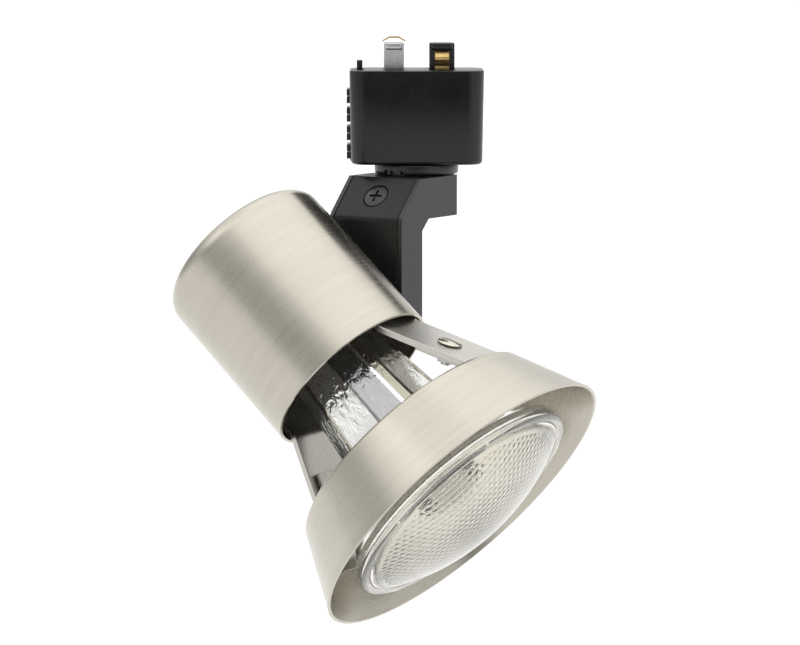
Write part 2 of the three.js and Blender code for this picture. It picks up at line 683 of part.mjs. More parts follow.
// ---------- lamp ----------
function lampBaseShell() {
  const outside = threadPoints(SHELL.radius, SHELL.radius - 0.9, SHELL.low, 5);
  const top = SHELL.low + 5 * SHELL.pitch;
  return turned([
    [9, SHELL.low - 0.4],
    [SHELL.radius - 1.4, SHELL.low],
    ...outside,
    [SHELL.radius + 0.1, top + 2],
    [SHELL.radius + 0.6, top + 3.4],
    [SHELL.radius - 0.1, top + 3.4],
    [SHELL.radius - 1.9, top],
    [SHELL.radius - 1.9, SHELL.low + 0.6],
    [9, SHELL.low + 0.2],
  ], 24);
}

function lampBaseInsulator() {
  const low = SHELL.low;
  const profile = [[0, low - 2.6], [4.9, low - 2.6], [8.7, low - 0.9], [8.7, low + 1.4], [0, low + 1.4]];
  return turned(profile, 28);
}

function lampBaseContact() {
  const low = LAMP_BASE_END;
  return turned([[0, low], [3.2, low], [4.7, low + 0.5], [4.7, low + 0.55], [0, low + 0.55]], 20);
}

// The reflector's outer wall as [radius, z]: a heel, a slowly widening neck, then a bell up to the rim.
const REFLECTOR_OUTSIDE = [
  [14.2, 12.3],
  [17.6, 14],
  [19.4, 18],
  [20.6, 29],
  [22.3, 44],
  [24.3, 58],
  [27.5, 63],
  [33.5, 70],
  [40, 78],
  [45, 86.5],
  [LAMP_RADIUS, 88.2],
  [LAMP_RADIUS, LAMP_RIM - GAP],
];
const REFLECTOR_INSIDE = [
  [43.8, LAMP_RIM - GAP],
  [43.2, 86.5],
  [38, 78],
  [25, 63],
  [22.2, 57],
  [18.2, 22],
  [15.4, 16],
  [12.6, 14],
  [12.6, 12.3],
];

// How far the neck's flats are formed at a height: 0 is round, 1 is fully flat. They fade out at both ends.
function flatness(z) {
  return THREE.MathUtils.smoothstep(z, 15, 22) * (1 - THREE.MathUtils.smoothstep(z, 56, 66));
}

function lampReflector() {
  const profile = [...REFLECTOR_OUTSIDE, ...REFLECTOR_INSIDE, REFLECTOR_OUTSIDE[0]];
  const points = profile.map(([r, z]) => new THREE.Vector2(r, z));
  const geometry = new THREE.LatheGeometry(points, FACETS * 4).rotateX(Math.PI / 2);
  const position = geometry.getAttribute("position");
  for (let i = 0; i < position.count; i++) {
    const [x, y, z] = [position.getX(i), position.getY(i), position.getZ(i)];
    const radius = Math.hypot(x, y);
    const turn = Math.atan2(y, x) * THREE.MathUtils.RAD2DEG + 360;
    const off = ((turn + 180 / FACETS) % (360 / FACETS)) - 180 / FACETS;
    const flat = Math.cos(Math.PI / FACETS) / Math.cos(off * THREE.MathUtils.DEG2RAD);
    const factor = 1 - flatness(z) * (1 - flat);
    position.setXY(i, x * factor, y * factor);
  }
  return solidOf(geometry.rotateZ(FACET_TURN * THREE.MathUtils.DEG2RAD));
}

// A domed front lens with a flat rim and a raised ring round the dome.
function lampLens() {
  const domeRadius = 44.5;
  const rise = 4;
  const cap = DOME_HEIGHT - rise;
  const sphere = (domeRadius ** 2 + cap ** 2) / (2 * cap);
  const dome = (r, drop) => LAMP_RIM + rise - drop + Math.sqrt(sphere ** 2 - r ** 2) - (sphere - cap);
  const outside = [];
  for (let r = domeRadius; r > -1; r -= domeRadius / 5) {
    const at = Math.max(r, 0);
    outside.push([at, dome(at, 0)]);
  }
  return turned([
    [0, dome(0, 2.6)],
    [18, dome(18, 2.6)],
    [33, dome(33, 2.6)],
    [domeRadius - 1.4, LAMP_RIM + 0.6],
    [domeRadius - 1, LAMP_RIM],
    [LAMP_RADIUS, LAMP_RIM],
    [LAMP_RADIUS, LAMP_RIM + 2.5],
    [LAMP_RADIUS - 0.8, LAMP_RIM + 3.2],
    [LAMP_RADIUS - 2.4, LAMP_RIM + 3.4],
    ...outside,
  ], 40);
}

// The burner lies across the lamp on a stalk.
// The stalk stands on the glass foot that closes the neck's lower end.
function burnerCapsule() {
  const { height, heading, radius, half, pinch, end } = BURNER;
  const stalk = turned([[0, 14.2], [12.2, 14.2], [12.6, 15], [2.4, 16.4], [1.8, height], [0, height]], 16);
  const near = [[pinch, -end], [pinch, -half - 2], [radius, -half]];
  const far = [[radius, half], [pinch, half + 2], [pinch, end]];
  const side = [...near, ...far];
  const capsule = turned([[0, -end], ...side, [0, end]], 16);
  return stalk.add(capsule.rotate([0, 90, 0]).rotate([0, 0, heading]).translate([0, 0, height]));
}

add(head, "rear_housing", rearHousing(), NICKEL);
add(head, "pivot_bolt", pivotBolt(), ZINC);
add(head, "pivot_arm_nut", onPivot(hexNut(15, PIVOT_BOLT.radius + GAP, 0, 3.2), 27.1), ZINC);
add(head, "pivot_spring_washer", onPivot(ring(7.6, PIVOT_BOLT.radius + GAP, 0, 1), 30.6), ZINC);
add(head, "pivot_friction_washer", onPivot(ring(8.4, PIVOT_BOLT.radius + GAP, 0, 1.7), 31.9), BLACK_PLASTIC);
const boltHole = PIVOT_BOLT.radius + GAP;
const spacer = ring(7.5, boltHole, 0, CAN_SIDE - LEG_FRONT - GAP * 2);
add(head, "pivot_spacer", onPivot(spacer, LEG_FRONT + GAP), BLACK_PAINT);
add(head, "pivot_can_nut", onPivot(hexNut(15, boltHole, 0, 3), CAN_SIDE + CAN.wall + 2.9), ZINC);
add(head, "socket_bracket", socketBracket(), ZINC);
add(head, "lampholder_body", lampholderBody(), PORCELAIN);
add(head, "screw_shell", screwShell(), BRASS);
add(head, "centre_contact", centreContact(), BRASS);
[8, -8].forEach((x, i) => add(head, `holder_screw_${i + 1}`, holderScrew(x), ZINC));
for (const [side, turn] of [["upper", 180], ["lower", 0]]) {
  const placed = (body) => body.rotate([0, 0, turn]);
  add(head, `strap_${side}`, placed(strap()), NICKEL);
  add(head, `strap_screw_${side}`, placed(strapScrew()), NICKEL);
  add(head, `strap_nut_${side}`, placed(strapNut()), ZINC);
  add(head, `flare_bracket_${side}`, placed(flareBracket()), NICKEL);
  RIVETS.forEach((z, i) => add(head, `strap_rivet_${side}_${i + 1}`, placed(strapRivet(z)), ZINC));
}
add(head, "flare_shade", flareShade(), NICKEL);
const lineRun = [[-25.6, 1.6, 0.5], [-23.8, 2.4, -4], [-23, 7, -14], [-22.4, 9, -25]];
add(head, "head_lead_line", wire(lineRun, 1), LEAD_BLACK);
const neutralRun = lineRun.map(([x, y, z]) => [x, -y, z]);
add(head, "head_lead_neutral", wire(neutralRun, 1), LEAD_WHITE);
add(head, "lamp_base_shell", lampBaseShell(), ZINC);
add(head, "lamp_base_insulator", lampBaseInsulator(), BLACK_PLASTIC);
add(head, "lamp_base_contact", lampBaseContact(), BRASS);
add(head, "lamp_reflector", lampReflector(), SILVERED_GLASS);
add(head, "lamp_lens", lampLens(), CLEAR_GLASS);
add(head, "burner_capsule", burnerCapsule(), CLEAR_GLASS);

export default object;
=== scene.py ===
import json
import math

import bmesh
import bpy
from mathutils import Matrix, Vector


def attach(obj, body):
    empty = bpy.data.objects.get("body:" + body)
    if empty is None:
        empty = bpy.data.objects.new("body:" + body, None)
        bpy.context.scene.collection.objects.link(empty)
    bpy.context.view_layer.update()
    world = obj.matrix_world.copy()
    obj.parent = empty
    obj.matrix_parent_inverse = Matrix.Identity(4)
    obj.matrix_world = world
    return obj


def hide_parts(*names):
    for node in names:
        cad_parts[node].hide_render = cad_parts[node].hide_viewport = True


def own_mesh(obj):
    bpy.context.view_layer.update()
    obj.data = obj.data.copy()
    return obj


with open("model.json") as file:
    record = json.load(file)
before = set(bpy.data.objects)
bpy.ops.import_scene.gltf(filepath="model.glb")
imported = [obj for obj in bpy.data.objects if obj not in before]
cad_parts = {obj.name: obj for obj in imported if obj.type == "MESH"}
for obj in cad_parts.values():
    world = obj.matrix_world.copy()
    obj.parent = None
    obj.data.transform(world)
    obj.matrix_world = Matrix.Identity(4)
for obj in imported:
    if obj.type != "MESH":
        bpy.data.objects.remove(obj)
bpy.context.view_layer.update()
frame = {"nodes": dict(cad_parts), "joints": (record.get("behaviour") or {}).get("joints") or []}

MM = 0.001
HEAD_TILT = math.radians(41)  # how far the lamp points below the horizontal at rest
INSIDE = 0.1  # visible pieces on the outline stay this much inside the CAD box

# ---------- frames ----------
joints = {j["name"]: j for j in frame["joints"]}
pivot = Vector(joints["head_tilt"]["pos_m"])
forward = Vector(joints["head_tilt"]["axis"]).normalized()
up = Vector((0, 0, 1))
across = up.cross(forward)
lamp_axis = across * math.cos(HEAD_TILT) - up * math.sin(HEAD_TILT)


def axes(x, y, z, origin):
    """The matrix of a frame with these axes and origin."""
    turn = Matrix((x, y, z)).transposed().to_4x4()
    return Matrix.Translation(origin) @ turn


ROW = Matrix.Identity(4)
ARM = axes(forward, across, up, Vector())
HEAD = axes(forward, lamp_axis.cross(forward), lamp_axis, pivot)
ALONG_X = Matrix.Rotation(math.pi / 2, 4, "Y")  # turns a frame so that its Z runs along the old X
FACING_X = Matrix(((0, 0, 1, 0), (1, 0, 0, 0), (0, 1, 0, 0), (0, 0, 0, 1)))  # (x, y, z) becomes (z, x, y)


def moved(x, y, z):
    """A move in millimetres."""
    return Matrix.Translation((x * MM, y * MM, z * MM))


# ---------- mesh makers ----------
collection = bpy.context.scene.collection


def made(name, verts, faces, place, uvs=None):
    """A closed mesh from points in millimetres in a local frame, with its faces turned to point outwards."""
    mesh = bpy.data.meshes.new(name)
    mesh.from_pydata([place @ (Vector(v) * MM) for v in verts], [], faces)
    if uvs:
        layer = mesh.uv_layers.new(name="UVMap")
        for loop in mesh.loops:
            layer.data[loop.index].uv = uvs[loop.index]
    work = bmesh.new()
    work.from_mesh(mesh)
    bmesh.ops.recalc_face_normals(work, faces=work.faces)
    work.to_mesh(mesh)
    work.free()
    piece = bpy.data.objects.new(name, mesh)
    collection.objects.link(piece)
    return piece


def lathe(name, profile, place, segments=128, closed=False):
    """A body of revolution about Z from (radius, height) points; closed joins the last point to the first."""
    verts, faces, uvs, rings = [], [], [], []
    travelled = [0.0]
    for (r0, z0), (r1, z1) in zip(profile, profile[1:] + profile[:1]):
        travelled.append(travelled[-1] + math.hypot(r1 - r0, z1 - z0))
    for r, z in profile:
        if r < 1e-6:
            rings.append([len(verts)])
            verts.append((0, 0, z))
            continue
        rings.append([len(verts) + k for k in range(segments)])
        for k in range(segments):
            turn = math.tau * k / segments
            verts.append((r * math.cos(turn), r * math.sin(turn), z))
    for i in range(len(rings) if closed else len(rings) - 1):
        low, high = rings[i], rings[(i + 1) % len(rings)]
        v0, v1 = travelled[i] / 100, travelled[i + 1] / 100
        for k in range(segments):
            n = (k + 1) % segments
            u0, u1 = k / segments, (k + 1) / segments
            middle = (u0 + u1) / 2
            if len(low) == 1:
                faces.append((low[0], high[n], high[k]))
                uvs += [(middle, v0), (u1, v1), (u0, v1)]
            elif len(high) == 1:
                faces.append((low[k], low[n], high[0]))
                uvs += [(u0, v0), (u1, v0), (middle, v1)]
            else:
                faces.append((low[k], low[n], high[n], high[k]))
                uvs += [(u0, v0), (u1, v0), (u1, v1), (u0, v1)]
    return made(name, verts, faces, place, uvs)


def skin(name, rings, place):
    """A closed body through rings of equal point counts, capped at both ends."""
    count, verts = len(rings[0]), sum(rings, [])
    faces = [tuple(range(count)), tuple(range(len(verts) - 1, len(verts) - count - 1, -1))]
    for a in range(0, len(verts) - count, count):
        b = a + count
        faces += [(a + k, a + (k + 1) % count, b + (k + 1) % count, b + k) for k in range(count)]
    return made(name, verts, faces, place)


def prism(name, outline, low, high, place):
    """A prism from (x, y) points between two heights."""
    return skin(name, [[(x, y, z) for x, y in outline] for z in (low, high)], place)


def bar(name, outline, low, high, place):
    """A bar from (x, z) points between two distances along Y."""
    turned = place @ Matrix(((1, 0, 0, 0), (0, 0, 1, 0), (0, 1, 0, 0), (0, 0, 0, 1)))
    return prism(name, outline, low, high, turned)


def block(name, centre, size, place):
    """A box that other makers cut with or round off."""
    (x, y, z), (sx, sy, sz) = centre, size
    outline = [(x + i * sx / 2, y + j * sy / 2) for i, j in ((-1, -1), (1, -1), (1, 1), (-1, 1))]
    return prism(name, outline, z - sz / 2, z + sz / 2, place)


def arc(cx, cy, radius, start, end, steps):
    """Points on an arc, angles in degrees."""
    turns = [math.radians(start + (end - start) * i / steps) for i in range(steps + 1)]
    return [(cx + radius * math.cos(t), cy + radius * math.sin(t)) for t in turns]


def rod(name, radius, low, high, place, segments=48):
    """A round rod about the local Z, for cutting and joining."""
    return prism(name, arc(0, 0, radius, 0, 360 * (1 - 1 / segments), segments - 1), low, high, place)


def rounded(half_x, half_y, radius, steps=10):
    """The outline of a rectangle with round corners."""
    corners = [(1, -1, -90), (1, 1, 0), (-1, 1, 90), (-1, -1, 180)]
    points = []
    for sx, sy, start in corners:
        points += arc(sx * (half_x - radius), sy * (half_y - radius), radius, start, start + 90, steps)
    return points


def settle(piece):
    """Applies the piece's modifiers to its mesh."""
    bpy.context.view_layer.update()
    graph = bpy.context.evaluated_depsgraph_get()
    mesh = bpy.data.meshes.new_from_object(piece.evaluated_get(graph), depsgraph=graph)
    piece.modifiers.clear()
    old, piece.data = piece.data, mesh
    bpy.data.meshes.remove(old)
    piece.data.name = piece.name
    return piece


def combine(piece, tools, operation):
    """A boolean with each tool in turn; the tools are used up."""
    for tool in tools:
        step = piece.modifiers.new("step", "BOOLEAN")
        step.object, step.operation, step.solver = tool, operation, "EXACT"
        settle(piece)
        bpy.data.objects.remove(tool)
    return piece


def cut(piece, *tools):
    """The piece less its tools."""
    return combine(piece, tools, "DIFFERENCE")


def join(piece, *tools):
    """The piece together with its tools."""
    return combine(piece, tools, "UNION")


def common(piece, *tools):
    """What the piece shares with all its tools."""
    return combine(piece, tools, "INTERSECT")


def smooth(piece, angle=32):
    """Smooth shading that keeps edges sharper than the angle."""
    piece.data.shade_smooth()
    piece.data.set_sharp_from_angle(angle=math.radians(angle))
    return piece


def soften(piece, width, segments=3, angle=28):
    """Rounds the edges and weights the normals, so flat faces stay flat and edges catch the light."""
    work = bmesh.new()
    work.from_mesh(piece.data)
    bmesh.ops.remove_doubles(work, verts=work.verts, dist=1e-6)
    bmesh.ops.dissolve_limit(work, angle_limit=math.radians(1), verts=work.verts, edges=work.edges)
    work.to_mesh(piece.data)
    work.free()
    bevel = piece.modifiers.new("bevel", "BEVEL")
    bevel.width, bevel.segments = width * MM, segments
    bevel.limit_method, bevel.angle_limit = "ANGLE", math.radians(angle)
    bevel.use_clamp_overlap = True
    settle(piece)
    piece.data.shade_smooth()
    piece.data.set_sharp_from_angle(angle=math.radians(60))
    weight = piece.modifiers.new("weight", "WEIGHTED_NORMAL")
    weight.keep_sharp, weight.weight = True, 100
    return settle(piece)


def from_node(name, node, width, angle=28):
    """A softened copy of a CAD node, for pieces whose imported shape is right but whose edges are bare."""
    mesh = frame["nodes"][node].data.copy()
    mesh.materials.clear()
    piece = bpy.data.objects.new(name, mesh)
    collection.objects.link(piece)
    return soften(piece, width, 2, angle)


def fit(piece, body, look, node):
    """Gives a piece its material, stands it for its CAD node and lets it ride on its body."""
    material, slot = look
    piece.data.materials.clear()
    piece.data.materials.append(material)
    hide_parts(node)
    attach(piece, body)
    return piece


def fit_copy(body, look, width, name, node):
    """Fits a softened copy of a CAD node."""
    fit(from_node(name, node, width), body, look, node)


def fit_copies(body, look, width, ending, *nodes):
    """Fits softened copies, each named after its node with an ending."""
    for node in nodes:
        fit_copy(body, look, width, node + ending, node)


def extent(node, place):
    """A CAD node's lowest and highest corner and largest radius, in millimetres in a local frame."""
    back = place.inverted()
    points = [(back @ v.co) / MM for v in frame["nodes"][node].data.vertices]
    low = Vector(min(p[k] for p in points) for k in range(3))
    high = Vector(max(p[k] for p in points) for k in range(3))
    return low, high, max(math.hypot(p.x, p.y) for p in points)


# ---------- looks ----------
class Tree:
    """Short ways to add and link shader nodes."""

    def __init__(self, tree):
        self.nodes, self.links = tree.nodes, tree.links

    def give(self, socket, value):
        """Links an input to an output, or sets it to a value; None leaves it alone."""
        if isinstance(value, bpy.types.NodeSocket):
            self.links.new(value, socket)
        elif value is not None:
            socket.default_value = value

    def add(self, kind, **inputs):
        """A new node, with inputs given by name."""
        node = self.nodes.new("ShaderNode" + kind)
        for name, value in inputs.items():
            self.give(node.inputs[name.replace("_", " ")], value)
        return node

    def math(self, operation, *values):
        """A sum on values or outputs."""
        node = self.add("Math")
        node.operation = operation
        for socket, value in zip(node.inputs, values):
            self.give(socket, value)
        return node.outputs[0]

    def plus(self, a, b):
        return self.math("ADD", a, b)

    def times(self, a, b):
        return self.math("MULTIPLY", a, b)

    def noise(self, vector, scale=1.0, detail=3.0, rough=0.55, distortion=0.0):
        values = {"Scale": scale, "Detail": detail, "Roughness": rough, "Distortion": distortion}
        return self.add("TexNoise", Vector=vector, **values).outputs[0]

    def ranged(self, value, low, high, start=0.3, end=0.7):
        """A value's run from start to end, mapped to low to high."""
        values = {"From_Min": start, "From_Max": end, "To_Min": low, "To_Max": high}
        return self.add("MapRange", Value=value, **values).outputs[0]

    def ramp(self, value, *stops):
        """Colours along a value, as (position, colour) stops."""
        node = self.add("ValToRGB")
        elements = node.color_ramp.elements
        while len(elements) < len(stops):
            elements.new(0.5)
        for element, (position, color) in zip(elements, stops):
            element.position, element.color = position, (*color, 1)
        self.give(node.inputs[0], value)
        return node.outputs[0]

    def mixed(self, share, first, second):
        """Two colours or outputs, mixed by a share."""
        node = self.add("Mix")
        node.data_type = "RGBA"
        for index, value in ((0, share), (6, first), (7, second)):
            self.give(node.inputs[index], (*value, 1) if isinstance(value, tuple) else value)
        return node.outputs[2]

    def bump(self, height, distance, strength=1.0, normal=None):
        """A bump with its height in millimetres, over another one if it is given."""
        values = {"Distance": distance * MM, "Strength": strength, "Normal": normal}
        return self.add("Bump", Height=height, **values).outputs[0]


class Look(Tree):
    """A procedural material on the Principled shader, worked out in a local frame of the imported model."""

    def __init__(self, name, color, roughness, metallic=0.0, place=ROW, **sockets):
        self.material = bpy.data.materials.new(name)
        self.material.use_nodes = True
        super().__init__(self.material.node_tree)
        self.feed(Base_Color=(*color, 1), Roughness=roughness, Metallic=metallic, **sockets)
        values = {"Location": place.to_translation(), "Rotation": place.to_euler()}
        frame_map = self.add("Mapping", Vector=self.add("TexCoord").outputs["Object"], **values)
        frame_map.vector_type = "TEXTURE"
        self.here = frame_map.outputs["Vector"]

    def feed(self, **sockets):
        """Sets or links the shader's sockets by name."""
        for name, value in sockets.items():
            self.give(self.nodes["Principled BSDF"].inputs[name.replace("_", " ")], value)

    def finish(self, color, rough, normal):
        """Feeds the sockets that every look varies, and returns the material."""
        self.feed(Base_Color=color, Roughness=rough, Normal=normal)
        return self.material

    def stretched(self, scale, source=None):
        """The local position, or another vector, scaled along each axis."""
        return self.add("Mapping", Vector=source or self.here, Scale=scale).outputs[0]

    def parts(self):
        """The local position's three coordinates, in metres."""
        return self.add("SeparateXYZ", Vector=self.here).outputs


def shade(color, factor):
    """A colour made lighter or darker."""
    return tuple(c * factor for c in color)


NICKEL = (0.485, 0.457, 0.392)


def turned_nickel():
    """Nickel plate brushed round the head's axis: fine rings that wander a little, and faint broad bands."""
    look = Look("turned_nickel", NICKEL, 0.27, 1.0, HEAD, Anisotropic=0.7, Anisotropic_Rotation=0.25)
    x, y, z = look.parts()[:3]
    length = look.add("VectorMath", Vector=look.add("CombineXYZ", X=x, Y=y).outputs[0])
    length.operation = "LENGTH"
    along = look.times(look.plus(z, length.outputs["Value"]), 2600)
    rings = look.add("CombineXYZ", X=look.times(x, 38), Y=look.times(y, 38), Z=along).outputs[0]
    fine = look.noise(rings, 1.0, 4, 0.7)
    broad = look.noise(look.stretched((0.6, 0.6, 0.12), rings), 1.0, 2)
    clouds = look.noise(look.here, 24, 2)
    tangent = look.add("Tangent")
    tangent.direction_type, tangent.uv_map = "UV_MAP", "UVMap"
    look.feed(Tangent=tangent.outputs[0])
    tone = look.plus(look.times(fine, 0.6), look.times(broad, 0.4))
    return look.finish(
        look.ramp(tone, (0.25, shade(NICKEL, 0.9)), (0.5, NICKEL), (0.75, shade(NICKEL, 1.1))),
        look.plus(look.ranged(fine, 0.22, 0.3), look.ranged(clouds, -0.015, 0.025)),
        look.bump(fine, 0.005, 0.25),
    )


def straight_nickel():
    """Nickel plate brushed along the straps."""
    face = (0.52, 0.5, 0.46)
    look = Look("straight_nickel", face, 0.3, 1.0, HEAD)
    grain = look.noise(look.stretched((2600, 40, 40)), 1.0, 4, 0.7)
    clouds = look.noise(look.here, 30, 2)
    return look.finish(
        look.ramp(grain, (0.25, shade(face, 0.94)), (0.75, shade(face, 1.06))),
        look.plus(look.ranged(grain, 0.22, 0.34), look.ranged(clouds, -0.02, 0.05)),
        look.bump(grain, 0.006, 0.25),
    )


def plain_look(name, base, rough, metallic, place, scale, tones, spread, depth):
    """One noise drives the colour between two tones, the roughness over a spread, and a bump."""
    look = Look(name, base, rough, metallic, place)
    marks = look.noise(look.here, scale, 3)
    return look.finish(
        look.ramp(marks, (0.3, tones[0]), (0.7, tones[1])),
        look.ranged(marks, *spread),
        look.bump(marks, depth, 0.3),
    )


def polished_nickel():
    """Nickel on small screws, with light machining marks."""
    tones = NICKEL, shade(NICKEL, 1.3)
    return plain_look("polished_nickel", shade(NICKEL, 1.2), 0.2, 1.0, HEAD, 1800, tones, (0.14, 0.28), 0.01)


def moulded_black(name, tones, base, rough, level, grain, clouds, spread, drift, bump):
    """Moulded black plastic: a fine spark texture, and clouds that shift its tone and roughness a little."""
    look = Look(name, base, rough, 0.0, ROW, Specular_IOR_Level=level)
    fine = look.noise(look.here, *grain)
    broad = look.noise(look.here, clouds, 3)
    return look.finish(
        look.ramp(broad, (0.3, tones[0]), (0.7, tones[1])),
        look.plus(look.ranged(fine, *spread), look.ranged(broad, *drift)),
        look.bump(fine, *bump),
    )


def black_plastic():
    """The adapter's plastic."""
    tones = (0.0045, 0.0045, 0.005), (0.0075, 0.0075, 0.008)
    base, grain = (0.006, 0.006, 0.0065), (2600, 2, 0.6)
    spreads = (0.26, 0.34), (-0.03, 0.04)
    return moulded_black("black_plastic", tones, base, 0.3, 0.4, grain, 45, *spreads, (0.008, 0.2))


def black_cover():
    """The arm's front cover, glossier than the casting."""
    tones = (0.009, 0.009, 0.0094), (0.013, 0.013, 0.0132)
    base, grain = (0.011, 0.011, 0.0112), (1900, 2, 0.5)
    spreads = (0.2, 0.27), (-0.02, 0.03)
    return moulded_black("black_cover", tones, base, 0.24, 0.27, grain, 60, *spreads, (0.012, 0.25))


def black_paint():
    """Satin black powder coat: a slight orange peel over a fine grain."""
    look = Look("black_paint", (0.008, 0.008, 0.008), 0.4, 0.0, ROW, Specular_IOR_Level=0.55)
    peel = look.noise(look.here, 650, 2, 0.5)
    grain = look.noise(look.here, 3200, 2, 0.6)
    cloud = look.noise(look.here, 40, 3)
    return look.finish(
        look.ramp(cloud, (0.3, (0.006, 0.006, 0.006)), (0.7, (0.01, 0.0098, 0.0096))),
        look.plus(look.ranged(peel, 0.28, 0.36), look.ranged(cloud, -0.03, 0.04)),
        look.bump(grain, 0.01, 0.25, look.bump(peel, 0.02, 0.3)),
    )


def zinc():
    """Bright zinc plate: faint spangle and scuffs."""
    base = (0.5, 0.51, 0.52)
    look = Look("zinc_plate", base, 0.34, 1.0)
    spangle = look.add("TexVoronoi", Vector=look.here, Scale=900).outputs["Distance"]
    scuffs = look.noise(look.here, 500, 4, 0.65)
    return look.finish(
        look.ramp(scuffs, (0.3, shade(base, 0.82)), (0.7, shade(base, 1.15))),
        look.plus(look.ranged(scuffs, 0.26, 0.42), look.ranged(spangle, -0.03, 0.04, 0, 1)),
        look.bump(spangle, 0.01, 0.3),
    )


def brass():
    """Spring brass, slightly tarnished."""
    look = Look("spring_brass", (0.6, 0.42, 0.16), 0.34, 1.0)
    stain = look.noise(look.here, 160, 4, 0.6)
    fine = look.noise(look.here, 2200, 2)
    return look.finish(
        look.ramp(stain, (0.3, (0.42, 0.28, 0.1)), (0.6, (0.62, 0.44, 0.18)), (0.8, (0.7, 0.52, 0.24))),
        look.ranged(stain, 0.45, 0.25),
        look.bump(fine, 0.01, 0.3),
    )


def porcelain():
    """Glazed off-white porcelain with specks under the glaze."""
    look = Look("glazed_porcelain", (0.74, 0.7, 0.62), 0.3, 0.0, HEAD, Coat_Weight=0.4, Coat_Roughness=0.1)
    cloud = look.noise(look.here, 70, 3)
    specks = look.noise(look.here, 1400, 2, 0.7)
    tone = look.plus(look.times(cloud, 0.7), look.times(specks, 0.3))
    return look.finish(
        look.ramp(tone, (0.3, (0.62, 0.57, 0.48)), (0.45, (0.74, 0.7, 0.62)), (0.7, (0.8, 0.77, 0.7))),
        look.ranged(cloud, 0.22, 0.38),
        look.bump(cloud, 0.15, 0.3),
    )


def silvered_glass():
    """Pressed glass, silvered inside: wavy at the neck's foot, with strips of painted reflection along the
    flats in its colour.
    """
    look = Look("silvered_glass", (0.7, 0.69, 0.66), 0.05, 0.92, HEAD, Coat_Weight=0.5, Coat_Roughness=0.03)
    x, y, z = look.parts()[:3]
    turn = look.times(look.math("ARCTAN2", y, x), 180 / math.pi)
    period = 3 * 360 / FACETS  # the painted reflection strips come back every three flats
    share = look.math("DIVIDE", look.math("FLOORED_MODULO", look.plus(turn, 464), period), period)
    bright, white, light = (1, 1, 1), (0.86, 0.86, 0.84), (0.62, 0.62, 0.59)
    olive, grey, dark = (0.33, 0.31, 0.24), (0.3, 0.3, 0.31), (0.1, 0.1, 0.1)
    # Painted reflection: light, white and bright bands, olive and grey bands and a thin dark line stand in
    # for what the flats would mirror.
    painted_reflection_strips = look.ramp(
        share,
        *((0.0, olive), (0.055, olive), (0.065, light), (0.33, light), (0.345, olive), (0.41, olive)),
        *((0.42, bright), (0.435, bright), (0.45, grey), (0.665, grey), (0.675, dark)),
        *((0.69, white), (0.985, white), (1.0, olive)),
    )
    marks = look.noise(look.stretched((900, 900, 260)), 1.0, 3, 0.6)
    haze = look.noise(look.here, 90, 3)
    plain = look.ramp(haze, (0.3, (0.74, 0.73, 0.7)), (0.7, (0.84, 0.83, 0.8)))
    neck = look.ranged(z, 1.0, 0.0, 0.061, 0.066)
    waves = look.noise(look.stretched((260, 260, 170)), 1.0, 3, 0.55, 0.8)
    ripple = look.noise(look.stretched((520, 520, 160)), 1.0, 2, 0.5)
    foot = look.plus(look.ranged(z, 1.0, 0.0, 0.04, 0.054), 0.12)
    return look.finish(
        look.mixed(neck, plain, look.mixed(look.ranged(marks, 0.0, 0.25), painted_reflection_strips, (0.5, 0.49, 0.44))),
        look.ranged(haze, 0.03, 0.09),
        look.bump(ripple, 0.03, 0.5, look.bump(look.times(waves, foot), 0.6, 1.0)),
    )


def lens_glass():
    """Clear pressed glass, a little cloudy in its thick rim, with a fine surface wave."""
    look = Look("lens_glass", (0.95, 0.93, 0.87), 0.04, 0.0, HEAD, Transmission_Weight=1.0, IOR=1.48)
    wave = look.noise(look.here, 130, 2)
    fine = look.noise(look.here, 900, 2)
    x, y = look.parts()[:2]
    radius = look.math("SQRT", look.plus(look.times(x, x), look.times(y, y)))
    rim = look.ranged(radius, 0.0, 1.0, 0.0438, 0.0458)
    look.feed(Transmission_Weight=look.math("SUBTRACT", 1.0, look.times(rim, 0.15)))
    return look.finish(
        look.ramp(wave, (0.3, (0.9, 0.88, 0.82)), (0.7, (0.94, 0.925, 0.87))),
        look.plus(look.ranged(fine, 0.02, 0.07), look.times(rim, 0.08)),
        look.bump(wave, 0.1, 0.3),
    )


def quartz(place):
    """Clear quartz with faint draw lines, dark foil in its ends and the coil's shade in its middle."""
    look = Look("quartz_glass", (0.95, 0.96, 0.96), 0.02, 0.0, place, Transmission_Weight=1.0, IOR=1.46)
    lines = look.noise(look.stretched((900, 900, 60)), 1.0, 2)
    coil = look.noise(look.stretched((300, 300, 1500)), 1.0, 2)
    ends = look.ranged(look.math("ABSOLUTE", look.parts()[0]), 0.0, 1.0, 0.0078, 0.009)
    shadow = look.mixed(look.ranged(coil, 0.25, 0.75), (0.9, 0.9, 0.88), (0.4, 0.4, 0.38))
    look.feed(Transmission_Weight=look.math("SUBTRACT", 0.85, look.times(ends, 0.85)))
    return look.finish(
        look.mixed(ends, shadow, (0.03, 0.029, 0.026)),
        look.plus(look.ranged(lines, 0.01, 0.05), look.times(ends, 0.25)),
        look.bump(lines, 0.03, 0.3),
    )


def insulation(name, color):
    """Soft wire insulation."""
    tones = shade(color, 0.85), shade(color, 1.1)
    return plain_look(name, color, 0.5, 0.0, ROW, 1600, tones, (0.42, 0.6), 0.02)


def spring_steel():
    """Oil-dulled spring wire."""
    tones = (0.3, 0.3, 0.31), (0.46, 0.46, 0.47)
    return plain_look("spring_steel", (0.4, 0.4, 0.41), 0.3, 1.0, ROW, 700, tones, (0.24, 0.4), 0.01)


FACETS = 9  # flats on the lamp's neck

